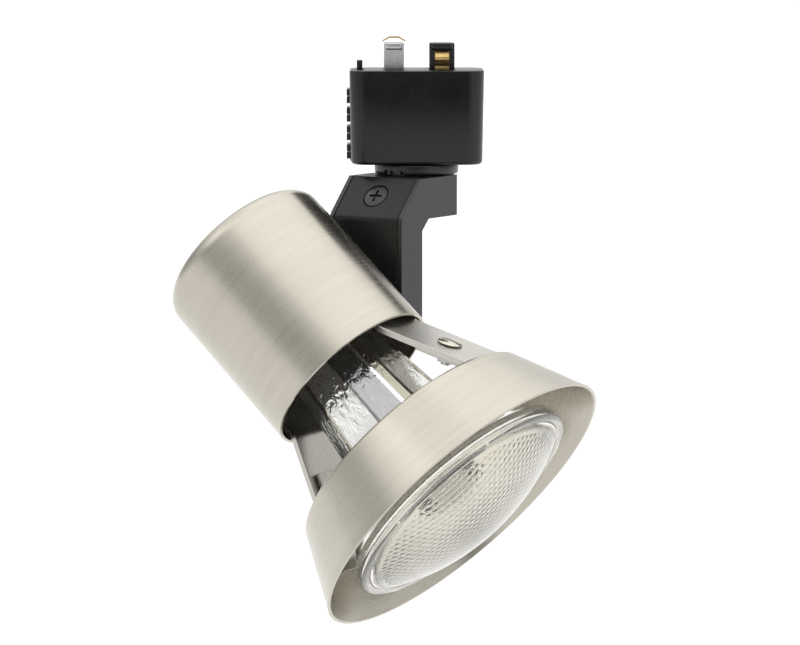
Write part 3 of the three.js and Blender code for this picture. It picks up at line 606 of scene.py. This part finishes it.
# Each look is a material and the slot it fills.
nickels = turned_nickel(), straight_nickel(), polished_nickel()
TURNED, STRAIGHT, POLISHED = [(nickel, "brushed_nickel") for nickel in nickels]
PLASTIC = black_plastic(), "black_plastic"
PAINT, COVER = (black_paint(), "black_paint"), (black_cover(), "black_paint")
ZINC = zinc(), "zinc"
BRASS = brass(), "brass_contact"
PORCELAIN = porcelain(), "porcelain"
MIRROR = silvered_glass(), "silvered_glass"
LENS = lens_glass(), "lens_glass"
LEAD_BLACK = insulation("black_insulation", (0.012, 0.012, 0.012)), "lead_black"
LEAD_WHITE = insulation("white_insulation", (0.6, 0.59, 0.55)), "lead_white"
SPRING = spring_steel(), "spring_steel"

# ---------- adapter ----------
case_low, case_high, _ = extent("adapter_housing", ROW)
CASE = {"half_x": case_high.x - INSIDE / 2, "half_y": case_high.y - INSIDE / 2}
CASE.update(height=-case_low.z, corner=7.0)
DRAFT = 0.6  # how much the case narrows on each side from top to bottom
CASE_WALL = 2.0
CASE_TOP = 2.4


def case_ring(height, inset):
    """The case's outline at a height, drawn in by an inset."""
    narrow = inset - DRAFT * height / CASE["height"]
    radius = max(CASE["corner"] - inset, 1)
    return [(x, y, height) for x, y in rounded(CASE["half_x"] - narrow, CASE["half_y"] - narrow, radius)]


def adapter_case():
    """The moulded case: thin-walled and open below, with the latch's slot and three holes in its top."""
    bottom = -CASE["height"]
    outside = [(0, 0.5), (-0.15, 0.15), (-0.5, 0)]
    r = 1.4  # how round the foot is
    foot = [(bottom + r - r * math.sin(t), r - r * math.cos(t)) for t in (0, 0.4, 0.8, 1.2, math.pi / 2)]
    inside = [(bottom, CASE_WALL - 0.2), (bottom + 0.2, CASE_WALL), (-CASE_TOP, CASE_WALL)]
    shell = skin("adapter_case", [case_ring(*ring) for ring in outside + foot + inside], ROW)
    wall_x = -CASE["half_x"]
    slot = [(-7, -45), (7, -45)] + arc(5, -7, 2, 0, 90, 5) + arc(-5, -7, 2, 90, 180, 5)
    tools = [prism("slot", slot, wall_x - 3, wall_x + 5, FACING_X)]
    for x, half_x, half_y, corner in ((10, 5.3, 7.2, 0.8), (-9, 4.3, 4.3, 0.8), (-22.5, 1.6, 4.5, 0.5)):
        tools.append(prism("hole", rounded(half_x, half_y, corner, 4), -6, 3, moved(x, 0, 0)))
    return smooth(cut(shell, *tools), 30)


fit(adapter_case(), "adapter", PLASTIC, "adapter_housing")
fit_copy("adapter", PLASTIC, 0.35, "adapter_base", "adapter_base_cover")
fit_copy("adapter", PLASTIC, 0.5, "contact_mast_body", "contact_mast")
fit_copy("adapter", ZINC, 0.5, "lug", "locking_lug")
fit_copies("adapter", BRASS, 0.12, "_strip", "line_contact", "neutral_contact", "ground_contact")
fit_copies("adapter", ZINC, 0.2, "_head", "cover_screw_1", "cover_screw_2")

# ---------- latch ----------
fit_copy("latch", PLASTIC, 0.4, "latch_pull_slide", "latch_slide")
COIL_WIRE = 0.4  # half the wire's thickness
COIL_TURNS, COIL_STEPS, COIL_SIDES = 6, 28, 10


def latch_coil():
    """The latch's compression spring, an open coil of round wire."""
    low, high, _ = extent("latch_spring", ROW)
    centre_x = (low.x + high.x) / 2
    coil = (high.x - low.x) / 2 - COIL_WIRE - INSIDE
    bottom, top = low.z + COIL_WIRE, high.z - COIL_WIRE
    rings = []
    count = COIL_TURNS * COIL_STEPS + 1
    for i in range(count):
        turn = math.tau * i / COIL_STEPS
        out = Vector((math.cos(turn), math.sin(turn), 0))
        centre = Vector((centre_x, 0, bottom + (top - bottom) * i / (count - 1))) + out * coil
        ring = [math.tau * k / COIL_SIDES for k in range(COIL_SIDES)]
        rings.append([centre + out * COIL_WIRE * math.cos(a) + up * COIL_WIRE * math.sin(a) for a in ring])
    return smooth(skin("latch_coil", rings, ROW), 50)


coil_piece = fit(latch_coil(), "adapter", SPRING, "latch_spring")
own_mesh(coil_piece)

# ---------- swivel ----------
disc_low, disc_high, disc_radius = extent("swivel_disc", ROW)
BOLT_HOLE = 5.3  # the radius that clears the pivot bolt
STEM_HOLE = 4.3  # the radius that clears the swivel's stem


def swivel_disc():
    """The plain disc between adapter and arm, with a stop notch and its two studs."""
    r, top, bottom = disc_radius - 0.02, disc_high.z, disc_low.z
    profile = [(STEM_HOLE, bottom), (r - 0.9, bottom), (r - 0.35, bottom + 0.2), (r - 0.05, bottom + 0.75)]
    profile += [(r, bottom + 1.2), (r, top - 0.4), (r - 0.12, top - 0.12), (r - 0.4, top), (STEM_HOLE, top)]
    piece = smooth(lathe("swivel_plate", profile, ARM, 144, closed=True))
    piece = cut(piece, block("notch", (r, 0, bottom + 0.8), (3.2, 9, 2.6), ARM))
    for y in (-2.4, 2.4):
        piece = join(piece, rod("stud", 0.8, r - 2.4, r - 0.6, ARM @ moved(0, y, bottom + 0.9) @ ALONG_X, 24))
    return smooth(piece, 30)


fit(swivel_disc(), "arm", PAINT, "swivel_disc")
stem_nodes = ("swivel_stem", "stem_flat_washer", "stem_spring_washer", "stem_upper_nut")
fit_copies("arm", ZINC, 0.25, "_turned", *stem_nodes)

# ---------- arm ----------
ARM_HALF = 17.0
ARM_WALL = 1.8
ARM_TOP = -41.55
BLOCK_BACK, BLOCK_BOTTOM, BLOCK_FRONT, BLOCK_CORNER = -5.3, -57.45, 22.5, 2.5
LEG_BACK, LEG_FRONT, LEG_START, INNER_ELBOW = 21.5, 36.1, -61.85, 16.9
KNEE, KNEE_RADIUS = -56.15, 5.0
STEM_BOSS_RADIUS, STEM_BOSS_BOTTOM = 7.0, -50.8
PIVOT_HEIGHT = pivot.z / MM
COVER_THICK = 2.2
CLEAR = 0.3
slope = Vector((LEG_FRONT - BLOCK_FRONT, KNEE - ARM_TOP)).normalized()
slope_out = Vector((-slope.y, slope.x))
slope_length = math.hypot(LEG_FRONT - BLOCK_FRONT, KNEE - ARM_TOP)
SCREW_SHARE = 0.47  # how far down the slope the cover's screw sits


def on_slope(share, depth=0.0):
    """A point on the arm's sloping front, as (forward, height), pushed in by a depth."""
    start = Vector((BLOCK_FRONT, ARM_TOP))
    return start + slope * slope_length * share - slope_out * depth


def front_line(depth, top, end):
    """The sloping front, the rounded knee and the leg's front, at a depth below them."""
    start = on_slope(0, depth)
    start_x = start.x + (top - start.y) * slope.x / slope.y
    centre_x = LEG_FRONT - KNEE_RADIUS
    inner = on_slope(0, KNEE_RADIUS)
    centre_z = inner.y + (centre_x - inner.x) * slope.y / slope.x
    begin = math.degrees(math.atan2(slope_out.y, slope_out.x))
    knee = arc(centre_x, centre_z, KNEE_RADIUS - depth, begin, 0, 12)
    return [(start_x, top)] + knee + [(LEG_FRONT - depth, end)]


def foot(inset):
    """The round-footed outline of the leg seen from the front, as a long prism along X."""
    half = ARM_HALF - inset
    outline = [(half, 0)] + arc(0, PIVOT_HEIGHT, half, 0, -180, 48) + [(-half, 0)]
    return prism("foot", outline, -20, 60, ARM @ FACING_X)


def slope_place():
    """A frame on the arm's sloping front at the cover's screw, Z pointing out of it."""
    point = on_slope(SCREW_SHARE)
    turn = math.atan2(slope_out.x, slope_out.y)
    return ARM @ moved(point.x, 0, point.y) @ Matrix.Rotation(turn, 4, "Y")


def front_band(name, depth, top):
    """A skin of the arm's front, from a height on the slope down to the foot."""
    low_end = PIVOT_HEIGHT - ARM_HALF - 1
    outline = front_line(0, top, low_end) + front_line(depth, top, low_end)[::-1]
    return bar(name, outline, -ARM_HALF, ARM_HALF, ARM)


def arm_casting():
    """The cranked arm: a hollow box section with a boss for the stem, open at its front under the cover."""
    low_end = PIVOT_HEIGHT - ARM_HALF
    outline = [(BLOCK_BACK, BLOCK_BOTTOM), (BLOCK_BACK, ARM_TOP)] + front_line(0, ARM_TOP, low_end)
    outline += [(LEG_BACK, low_end), (LEG_BACK, LEG_START), (INNER_ELBOW, BLOCK_BOTTOM)]
    body = bar("arm_casting", outline, -ARM_HALF, ARM_HALF, ARM)
    middle = ARM @ moved(BLOCK_BACK + 40, 0, 0)
    plan = prism("plan", rounded(40, ARM_HALF, BLOCK_CORNER, 8), -130, -30, middle)
    body = common(body, foot(0), plan)
    back, top, leg = BLOCK_BACK + ARM_WALL, ARM_TOP - ARM_WALL, LEG_BACK + ARM_WALL
    inner = [(back, top), (60, top), (60, -130), (leg, -130), (leg, LEG_START + 1)]
    inner += [(INNER_ELBOW + 1, BLOCK_BOTTOM + ARM_WALL), (back, BLOCK_BOTTOM + ARM_WALL)]
    hollow = common(bar("hollow", inner, -ARM_HALF, ARM_HALF, ARM), foot(ARM_WALL))
    hollow = cut(hollow, rod("boss", STEM_BOSS_RADIUS, STEM_BOSS_BOTTOM, ARM_TOP + 1, ARM, 64))
    recess = common(front_band("recess", COVER_THICK + CLEAR, ARM_TOP + 1), foot(ARM_WALL))
    body = cut(body, hollow, recess, rod("stem_hole", STEM_HOLE, STEM_BOSS_BOTTOM - 2, ARM_TOP + 2, ARM, 48))
    return soften(body, 0.5, 3, 20)


def arm_cover():
    """The arm's front cover, with holes for the pivot bolt and its own sunk screw."""
    body = common(front_band("arm_cover_plate", COVER_THICK, ARM_TOP), foot(ARM_WALL + CLEAR))
    hole = rod("hole", BOLT_HOLE, 20, 60, ARM @ moved(0, 0, PIVOT_HEIGHT) @ ALONG_X)
    body = cut(body, hole, rod("sink", 5.3, -1.5, 4, slope_place()), rod("clear", 1.9, -6, 4, slope_place()))
    return soften(body, 0.35, 3, 20)


def cover_screw():
    """A cross-recessed pan head on its shank."""
    profile = [(0, -10), (1.4, -10), (1.4, -1.2), (4.6, -1.2), (4.95, -0.95)]
    profile += [(5, -0.5), (4.85, -0.15), (4.4, 0), (2, 0.08), (0, 0.1)]
    screw = smooth(lathe("arm_cover_fixing", profile, slope_place(), 64))
    for size in ((5.4, 1.1, 1.8), (1.1, 5.4, 1.8)):
        screw = cut(screw, block("recess", (0, 0, 0.1), size, slope_place()))
    return smooth(screw, 30)


fit(arm_casting(), "arm", PAINT, "arm_body")
fit(arm_cover(), "arm", COVER, "arm_cover")
fit(cover_screw(), "arm", PAINT, "arm_cover_screw")

# ---------- can and flare ----------
can_low, can_high, can_radius = extent("rear_housing", HEAD)
CAN_WALL, CAN_EDGE = 1.2, 7.0


def can():
    """The drawn can: a dished rear, a rounded edge and a plain thin mouth."""
    r, rear, mouth = can_radius - INSIDE, can_low.z + INSIDE, can_high.z
    outside = [(0, rear), (r - CAN_EDGE, rear)] + arc(r - CAN_EDGE, rear + CAN_EDGE, CAN_EDGE, -84, 0, 14)
    steps = [(r, rear + CAN_EDGE + (mouth - rear - CAN_EDGE) * k / 8) for k in range(1, 8)]
    lip = [(r, mouth - 0.25), (r - 0.15, mouth), (r - CAN_WALL + 0.15, mouth), (r - CAN_WALL, mouth - 0.25)]
    inside = arc(r - CAN_EDGE, rear + CAN_EDGE, CAN_EDGE - CAN_WALL, 0, -84, 12)
    inside += [(r - CAN_EDGE, rear + CAN_WALL), (0, rear + CAN_WALL)]
    piece = lathe("rear_can", outside + steps + lip + inside, HEAD, 192)
    hole = rod("hole", BOLT_HOLE, -50, -20, HEAD @ ALONG_X)
    return smooth(cut(smooth(piece), hole), 30)


flare_low, flare_high, flare_radius = extent("flare_shade", HEAD)
SHEET = 1.2
SHOULDER = 2.6  # how round the flare's rear edge is
REAR_RADIUS = 51.4


def flare_wall(z):
    """The flare's outer radius at a height, before its rear edge turns in."""
    share = (z - flare_low.z) / (flare_high.z - flare_low.z)
    return REAR_RADIUS + (flare_radius - INSIDE - REAR_RADIUS) * share


def flare():
    """The flared shade: a thin spun cone with a turned-in rear edge and a plain mouth."""
    rear, mouth = flare_low.z, flare_high.z
    lean = math.degrees(math.atan2(flare_radius - REAR_RADIUS, mouth - rear))
    centre_z = rear + SHOULDER
    centre_r = flare_wall(centre_z) - SHOULDER / math.cos(math.radians(lean))
    turn_in = arc(centre_r, centre_z, SHOULDER, -86, -lean, 8)
    outside = turn_in + [(flare_wall(z), z) for z in (rear + 4 + 2.9 * k for k in range(9))]
    edge = flare_wall(mouth)
    lip = [(edge, mouth - 0.12), (edge - 0.2, mouth), (edge - SHEET, mouth)]
    inside = [(r - SHEET * 1.08, z) for r, z in outside[9:][::-1]]
    turn_back = arc(centre_r, centre_z, SHOULDER - SHEET, -lean, -86, 8)
    piece = lathe("flare", outside + lip + inside + turn_back, HEAD, 256, closed=True)
    return smooth(piece, 30)


fit(can(), "head", TURNED, "rear_housing")
fit(flare(), "head", TURNED, "flare_shade")

# ---------- straps ----------
STRAP = {"half": 12.5, "thick": 2.4, "outer": 30.8, "start": -6.0, "bend": 28.2, "slope": 0.485, "end": 64.8}
TAB = {"half": 9.0, "thick": 1.5, "start": 43.0, "jog_start": 67.5, "jog_end": 71.5, "end": 76.0}
STRAP_SCREW_AT = 49.5
STRAP_HOLE = 2.0  # its radius


def strap_face(z):
    """The distance of the strap's outer face from the head's axis."""
    return STRAP["outer"] + max(0.0, z - STRAP["bend"]) * STRAP["slope"]


def rounded_path(points, radius, steps=8):
    """A polyline of (z, y) points with its inner corners turned into arcs of a radius."""
    path = [Vector(points[0])]
    for before, corner, after in zip(points, points[1:], points[2:]):
        corner = Vector(corner)
        to_before, to_after = Vector(before) - corner, Vector(after) - corner
        tangent = radius / math.tan(to_before.angle(to_after) / 2)
        reach = min(tangent, to_before.length * 0.45, to_after.length * 0.45)
        start, end = corner + to_before.normalized() * reach, corner + to_after.normalized() * reach
        for k in range(steps + 1):
            t = k / steps
            path.append(start * (1 - t) ** 2 + corner * 2 * t * (1 - t) + end * t**2)
    path.append(Vector(points[-1]))
    return path


def flat_strip(name, points, thick, half, place):
    """A flat bar whose outer face follows (z, y) points."""
    path = rounded_path(points, 6)
    rings = []
    for i, point in enumerate(path):
        a, b = path[max(0, i - 1)], path[min(len(path) - 1, i + 1)]
        run = (b - a).normalized()
        (z, y), (inner_z, inner_y) = point, point + Vector((run.y, -run.x)) * thick
        rings.append([(-half, y, z), (half, y, z), (half, inner_y, inner_z), (-half, inner_y, inner_z)])
    return skin(name, rings, place)


def screw_place(side):
    """A frame on a strap's outer face at its screw, Z pointing out of the strap."""
    lean = math.atan(STRAP["slope"])
    at_screw = side @ moved(0, strap_face(STRAP_SCREW_AT), STRAP_SCREW_AT)
    return at_screw @ Matrix.Rotation(-math.pi / 2 - lean, 4, "X")


def screw_hole(side):
    """The tool for a strap screw's hole."""
    return rod("hole", STRAP_HOLE, -9, 9, screw_place(side), 32)


def strap(name, side):
    """A strap: straight beside the can, then leaning out to the flare."""
    points = [(z, strap_face(z)) for z in (STRAP["start"], STRAP["bend"], STRAP["end"])]
    strip = flat_strip(name, points, STRAP["thick"], STRAP["half"], side)
    return soften(cut(strip, screw_hole(side)), 0.35, 3, 35)


def tab(name, side):
    """The flare's bracket: flat against the strap's inner face, then along the inside of the flare."""
    below = (STRAP["thick"] + CLEAR) * math.hypot(1, STRAP["slope"])
    points = [(z, strap_face(z) - below) for z in (TAB["start"], TAB["jog_start"])]
    for z in (TAB["jog_end"], TAB["end"]):
        inner = flare_wall(z) - SHEET * 1.1
        points.append((z, math.sqrt(inner**2 - TAB["half"] ** 2) - CLEAR))
    strip = flat_strip(name, points, TAB["thick"], TAB["half"], side)
    return soften(cut(strip, screw_hole(side)), 0.25, 3, 35)


def strap_screw(name, side):
    """A slotted pan head on its shank."""
    profile = [(0, -8), (1.7, -8), (1.7, CLEAR), (4.5, CLEAR), (4.68, 0.45)]
    profile += [(4.66, 0.7), (4.4, 0.95), (3.6, 1.2), (2, 1.42), (0, 1.5)]
    screw = smooth(lathe(name, profile, screw_place(side), 64))
    return smooth(cut(screw, block("slot", (0, 0, 1.4), (1.1, 10, 1.4), screw_place(side))), 30)


for which, turn in (("upper", math.pi), ("lower", 0.0)):
    side = HEAD @ Matrix.Rotation(turn, 4, "Z")
    fit(strap("strap_bar_" + which, side), "head", STRAIGHT, "strap_" + which)
    fit(tab("flare_tab_" + which, side), "head", STRAIGHT, "flare_bracket_" + which)
    fit(strap_screw("strap_fixing_" + which, side), "head", POLISHED, "strap_screw_" + which)
    rivets = [f"strap_rivet_{which}_{number}" for number in (1, 2)]
    fit_copies("head", ZINC, 0.2, "_turned", "strap_nut_" + which, *rivets)

# ---------- pivot and lampholder ----------
pivot_nodes = ("pivot_bolt", "pivot_arm_nut", "pivot_spring_washer", "pivot_can_nut")
fit_copies("head", ZINC, 0.25, "_turned", *pivot_nodes)
fit_copy("head", PLASTIC, 0.2, "pivot_friction_ring", "pivot_friction_washer")


def pivot_collar():
    """The plain spacer between the arm and the can."""
    place = HEAD @ ALONG_X
    low, high, r = extent("pivot_spacer", place)
    a, b = low.z, high.z
    edge = 0.3
    profile = [(BOLT_HOLE, a), (r - edge, a), (r, a + edge), (r, b - edge), (r - edge, b), (BOLT_HOLE, b)]
    return smooth(lathe("pivot_collar", profile, place, 64, closed=True))


fit(pivot_collar(), "head", PAINT, "pivot_spacer")
fit_copy("head", ZINC, 0.3, "holder_bracket", "socket_bracket")
fit_copies("head", ZINC, 0.2, "_head", "holder_screw_1", "holder_screw_2")


def holder():
    """The porcelain lampholder, turned with a soft shoulder."""
    low, high, _ = extent("lampholder_body", HEAD)
    rear, mouth = low.z, high.z
    outside = [(0, rear), (16.4, rear), (17.6, rear + 0.5), (18, rear + 1.4), (18, -12.4)]
    outside += [(18.4, -11), (19, -9.6), (19, 7.4)]
    lip = [(18.7, 8.5), (17.8, mouth), (15.8, mouth), (15.2, 8.4)]
    inside = [(15.2, -17), (4, -17), (4, -22.5), (0, -22.5)]
    return smooth(lathe("holder_porcelain", outside + lip + inside, HEAD, 96), 40)


fit(holder(), "head", PORCELAIN, "lampholder_body")
THREAD_LOW, THREAD_PITCH, THREAD_RADIUS = -9.6, 3.63, 13.1


def thread(crest, root, turns):
    """Rounded thread crests as (radius, height) points going up."""
    points = []
    for k in range(turns * 8 + 1):
        wave = 0.5 - 0.5 * math.cos(math.tau * k / 8)
        points.append((root + (crest - root) * wave, THREAD_LOW + THREAD_PITCH * k / 8))
    return points


def holder_shell():
    """The lampholder's screw shell, a thin threaded ring."""
    r, low = THREAD_RADIUS, THREAD_LOW - 4
    inside = thread(r + 0.5, r - 0.4, 4)
    profile = [(r + 1.2, low)] + [(radius + 0.7, z) for radius, z in inside]
    profile += [(r + 1.2, 7), (r + 0.6, 7)] + inside[::-1] + [(r + 0.5, low)]
    return smooth(lathe("holder_shell", profile, HEAD, 72, closed=True), 50)


def lamp_base():
    """The lamp's screw base, a thin threaded shell that widens round the glass."""
    r, top = THREAD_RADIUS, THREAD_LOW + 5 * THREAD_PITCH
    outside = thread(r, r - 0.9, 5)
    profile = [(9, THREAD_LOW - 0.4), (r - 1.4, THREAD_LOW)] + outside
    profile += [(r + 0.1, top + 2), (r + 0.6, top + 3.4), (r - 0.1, top + 3.4), (r - 1.9, top)]
    profile += [(r - 1.9, THREAD_LOW + 0.6), (9, THREAD_LOW + 0.2)]
    return smooth(lathe("lamp_screw_base", profile, HEAD, 72, closed=True), 50)


fit(holder_shell(), "head", BRASS, "screw_shell")
fit_copy("head", BRASS, 0.2, "holder_contact", "centre_contact")
fit(lamp_base(), "head", ZINC, "lamp_base_shell")
fit_copy("head", PLASTIC, 0.2, "lamp_base_ring", "lamp_base_insulator")
fit_copy("head", BRASS, 0.1, "lamp_base_tip", "lamp_base_contact")
for node, look in (("head_lead_line", LEAD_BLACK), ("head_lead_neutral", LEAD_WHITE)):
    fit(from_node(node + "_wire", node, 0.2, 70), "head", look, node)

# ---------- lamp ----------
rim_low, rim_high, rim_radius = extent("lamp_lens", HEAD)
FACET_TURN = math.radians(-3.5)
RIDGE = math.radians(1.6)  # half the width of the rounded ridge between two flats
LAMP_RIM = rim_low.z


def eased(value, start, end):
    """A value's way from start to end, as a smooth share from 0 to 1."""
    t = min(max((value - start) / (end - start), 0), 1)
    return t * t * (3 - 2 * t)


def flatness(z):
    """How far the neck's flats are formed at a height, from 0 for round to 1 for flat."""
    return eased(z, 15, 22) * (1 - eased(z, 56, 66))


def reflector():
    """The silvered reflector: a flat-sided neck that swells into a smooth bell."""
    outline = [(14.2, 12.3), (15.8, 12.9), (17.6, 14), (18.7, 16), (19.4, 18), (19.8, 21), (20.2, 25)]
    outline += [(20.6, 29), (21.1, 34), (21.7, 39), (22.3, 44), (22.9, 49), (23.6, 54), (24.4, 58)]
    outline += [(25.6, 60.6), (27.5, 63.2), (30, 66.2), (33.5, 70.2), (36.8, 74.2), (39.8, 78), (42.4, 82)]
    outline += [(44.5, 85.8), (45.8, 87.4), (rim_radius - 0.8, 88.2)]
    outline += [(rim_radius - INSIDE, 88.9), (rim_radius - INSIDE, LAMP_RIM - CLEAR)]
    inside = [(43.8, LAMP_RIM - CLEAR), (43.2, 86.5), (40.8, 82.2), (38, 78), (33.6, 72.6), (28.6, 67)]
    inside += [(25, 63), (22.2, 57), (20.6, 44), (18.8, 29), (18.2, 22), (15.4, 16), (12.6, 14), (12.6, 12.3)]
    piece = lathe("lamp_reflector_glass", outline + inside, HEAD, FACETS * 24, closed=True)
    back = HEAD.inverted()
    flat = math.tau / FACETS
    for vert in piece.data.vertices:
        point = back @ vert.co
        z = point.z / MM
        turn = math.atan2(point.y, point.x)
        off = (turn + math.tau + flat / 2) % flat - flat / 2
        blunt = min(abs(off), flat / 2 - RIDGE)
        share = 1 - flatness(z) * (1 - math.cos(flat / 2 - RIDGE) / math.cos(blunt))
        point.x, point.y = point.x * share, point.y * share
        vert.co = HEAD @ (Matrix.Rotation(FACET_TURN, 4, "Z") @ point)
    return smooth(piece, 15)


DOME_RADIUS = 44.0
DOME_RISE = 3.6
LENS_THICK = 2.6
dome_cap = rim_high.z - INSIDE - LAMP_RIM - DOME_RISE
sphere = (DOME_RADIUS**2 + dome_cap**2) / (2 * dome_cap)


def dome_height(r, drop=0.0):
    """The height of the lens's dome at a radius, less a drop."""
    return LAMP_RIM + DOME_RISE - drop + math.sqrt(sphere**2 - r**2) - (sphere - dome_cap)


DIMPLE_PITCH, DIMPLE_DEPTH, DIMPLE_REACH = 2.8, 0.25, 40.0
DIMPLE_EDGE = DIMPLE_PITCH * 0.56  # the radius at which a dimple ends
DIMPLE_RINGS = 132  # rings of the mesh under the dimples


def dimple(x, y):
    """How far a dimple of a hexagonal pattern bulges, from 0 between dimples to 1 on a crown."""
    row_height = DIMPLE_PITCH * math.sqrt(3) / 2
    best = DIMPLE_PITCH
    row = round(y / row_height)
    for r in (row - 1, row, row + 1):
        shift = DIMPLE_PITCH / 2 if r % 2 else 0.0
        cx = round((x - shift) / DIMPLE_PITCH) * DIMPLE_PITCH + shift
        best = min(best, math.hypot(x - cx, y - r * row_height))
    return max(0.0, 1 - (best / DIMPLE_EDGE) ** 2)


def lens():
    """The front lens: a flat rim, smooth stepped rings, and a dome that is dimpled on its inner face."""
    outer = [(DOME_RADIUS * k / 12, dome_height(DOME_RADIUS * k / 12)) for k in range(13)]
    edge = rim_radius - INSIDE
    rim = [(44.5, 3.4), (44.9, 3.2), (45.8, 3.3), (rim_radius - 1.2, 3.2), (rim_radius - 0.4, 2.8)]
    rim += [(edge, 2.2), (edge, 0.2), (rim_radius - 0.3, 0), (DOME_RADIUS - 0.6, 0), (42.6, 0.7)]
    rim = [(r, LAMP_RIM + z) for r, z in rim]
    inner = [(r, dome_height(r, drop)) for r, drop in ((42, LENS_THICK), (41.2, 2.4), (40.4, 2.7))]
    rings = [DIMPLE_REACH * (1 - k / DIMPLE_RINGS) for k in range(DIMPLE_RINGS + 1)]
    inner += [(r, dome_height(r, LENS_THICK)) for r in rings]
    piece = lathe("lamp_front_lens", outer + rim + inner, HEAD, 420)
    back = HEAD.inverted()
    for vert in piece.data.vertices:
        point = (back @ vert.co) / MM
        r = math.hypot(point.x, point.y)
        if r < DIMPLE_REACH and abs(point.z - dome_height(r, LENS_THICK)) < 0.05:
            fade = min(1.0, (DIMPLE_REACH - r) / 1.5)
            point.z -= DIMPLE_DEPTH * dimple(point.x, point.y) * fade
            vert.co = HEAD @ (point * MM)
    return smooth(piece, 40)


BURNER_AT, BURNER_HEADING = 83.0, math.radians(-128.3)
ACROSS = HEAD @ moved(0, 0, BURNER_AT) @ Matrix.Rotation(BURNER_HEADING, 4, "Z")


def burner():
    """The halogen burner: a quartz capsule across the lamp, on a stalk from the glass foot."""
    profile = [(0, 14.2), (12.2, 14.2), (12.5, 14.6), (12.3, 15.1), (3, 16.2), (2.4, 17), (2.2, 40)]
    profile += [(1.8, BURNER_AT), (0, BURNER_AT)]
    stalk = smooth(lathe("lamp_burner", profile, HEAD, 40), 50)
    half = [(4.2, 0), (4.2, 6.5), (3.9, 8), (3.0, 9.4), (2.2, 10.2), (2.1, 13.2), (1.6, 13.6), (0, 13.6)]
    whole = [(r, -z) for r, z in half[::-1]] + half[1:]
    capsule = smooth(lathe("capsule", whole, ACROSS @ ALONG_X, 48), 50)
    return smooth(join(stalk, capsule), 50)


fit(reflector(), "head", MIRROR, "lamp_reflector")
fit(lens(), "head", LENS, "lamp_lens")
fit(burner(), "head", (quartz(ACROSS), "capsule_glass"), "burner_capsule")

# ---------- camera ----------
CAMERA_AT = Vector((-0.00659, -1.1944, 0.05135))
CAMERA_PITCH = math.radians(7.29)  # how far it looks down
camera_data = bpy.data.cameras.new("camera")
camera_data.lens, camera_data.sensor_width = 135, 36
camera_data.clip_start, camera_data.clip_end = 0.05, 3000
camera = bpy.data.objects.new("camera", camera_data)
camera.location = CAMERA_AT
camera.rotation_euler = (math.pi / 2 - CAMERA_PITCH, 0, 0)
collection.objects.link(camera)
bpy.context.scene.camera = camera


# ---------- studio ----------
def floor():
    """A pale floor far below, wide enough to fill the view."""
    half, height = 900, -1.2
    mesh = bpy.data.meshes.new("studio_floor")
    corners = [(half * i, half * j, height) for i, j in ((-1, -1), (1, -1), (1, 1), (-1, 1))]
    mesh.from_pydata(corners, [], [(0, 1, 2, 3)])
    piece = bpy.data.objects.new("studio_floor", mesh)
    collection.objects.link(piece)
    look = Look("studio_white", (0.9, 0.9, 0.9), 0.8)
    look.feed(Roughness=look.ranged(look.noise(look.here, 6, 2), 0.75, 0.85))
    mesh.materials.append(look.material)


def heading(azimuth, elevation):
    """A direction: azimuth 0 is towards the front and 90 towards +X."""
    a, e = math.radians(azimuth), math.radians(elevation)
    return math.sin(a) * math.cos(e), -math.cos(a) * math.cos(e), math.sin(e)


# The tent's brightness against the height of the direction, from straight down to straight up.
TENT = [(0.0, 1.0), (0.48, 1.06), (0.53, 1.06), (0.6, 0.82)]
TENT += [(0.67, 0.78), (0.76, 1.05), (0.84, 1.45), (0.93, 1.7)]
# Softly bounded patches: azimuth, elevation, inner and outer radius in degrees, change in brightness.
PATCHES = [
    (0, 2, 15, 38, -0.95),
    (-46, 26, 21, 30, -0.24),
    (-78, 0, 12, 34, -0.15),
    (-130, 4, 8, 26, -0.4),
    (-80, 38, 8, 18, 0.45),
    (-112, 60, 6, 16, -0.35),
    (148, 32, 4, 12, -1.0),
    (172, 24, 6, 16, 0.3),
]


def studio_light():
    """A soft white tent: bright overhead, calmer at eye level, darkest in front where the camera stands."""
    world = bpy.data.worlds.new("studio")
    bpy.context.scene.world = world
    world.use_nodes = True
    tree = Tree(world.node_tree)
    direction = tree.add("TexCoord").outputs["Generated"]
    height = tree.add("SeparateXYZ", Vector=direction).outputs[2]
    stops = [(position, [brightness / 2] * 3) for position, brightness in TENT]
    level = tree.ramp(tree.math("MULTIPLY_ADD", height, 0.5, 0.5), *stops)
    for azimuth, elevation, inner, outer, change in PATCHES:
        near = tree.add("VectorMath", Vector=direction)
        near.operation, near.inputs[1].default_value = "DOT_PRODUCT", heading(azimuth, elevation)
        edges = [math.cos(math.radians(angle)) for angle in (outer, inner)]
        patch = tree.ranged(near.outputs["Value"], 0, change / 2, *edges)
        patch.node.interpolation_type = "SMOOTHSTEP"
        level = tree.plus(level, patch)
        level.node.use_clamp = True
    background = tree.nodes["Background"]
    tree.give(background.inputs["Color"], level)
    background.inputs["Strength"].default_value = 2.0


floor()
studio_light()
bpy.context.scene.view_settings.view_transform = "Standard"
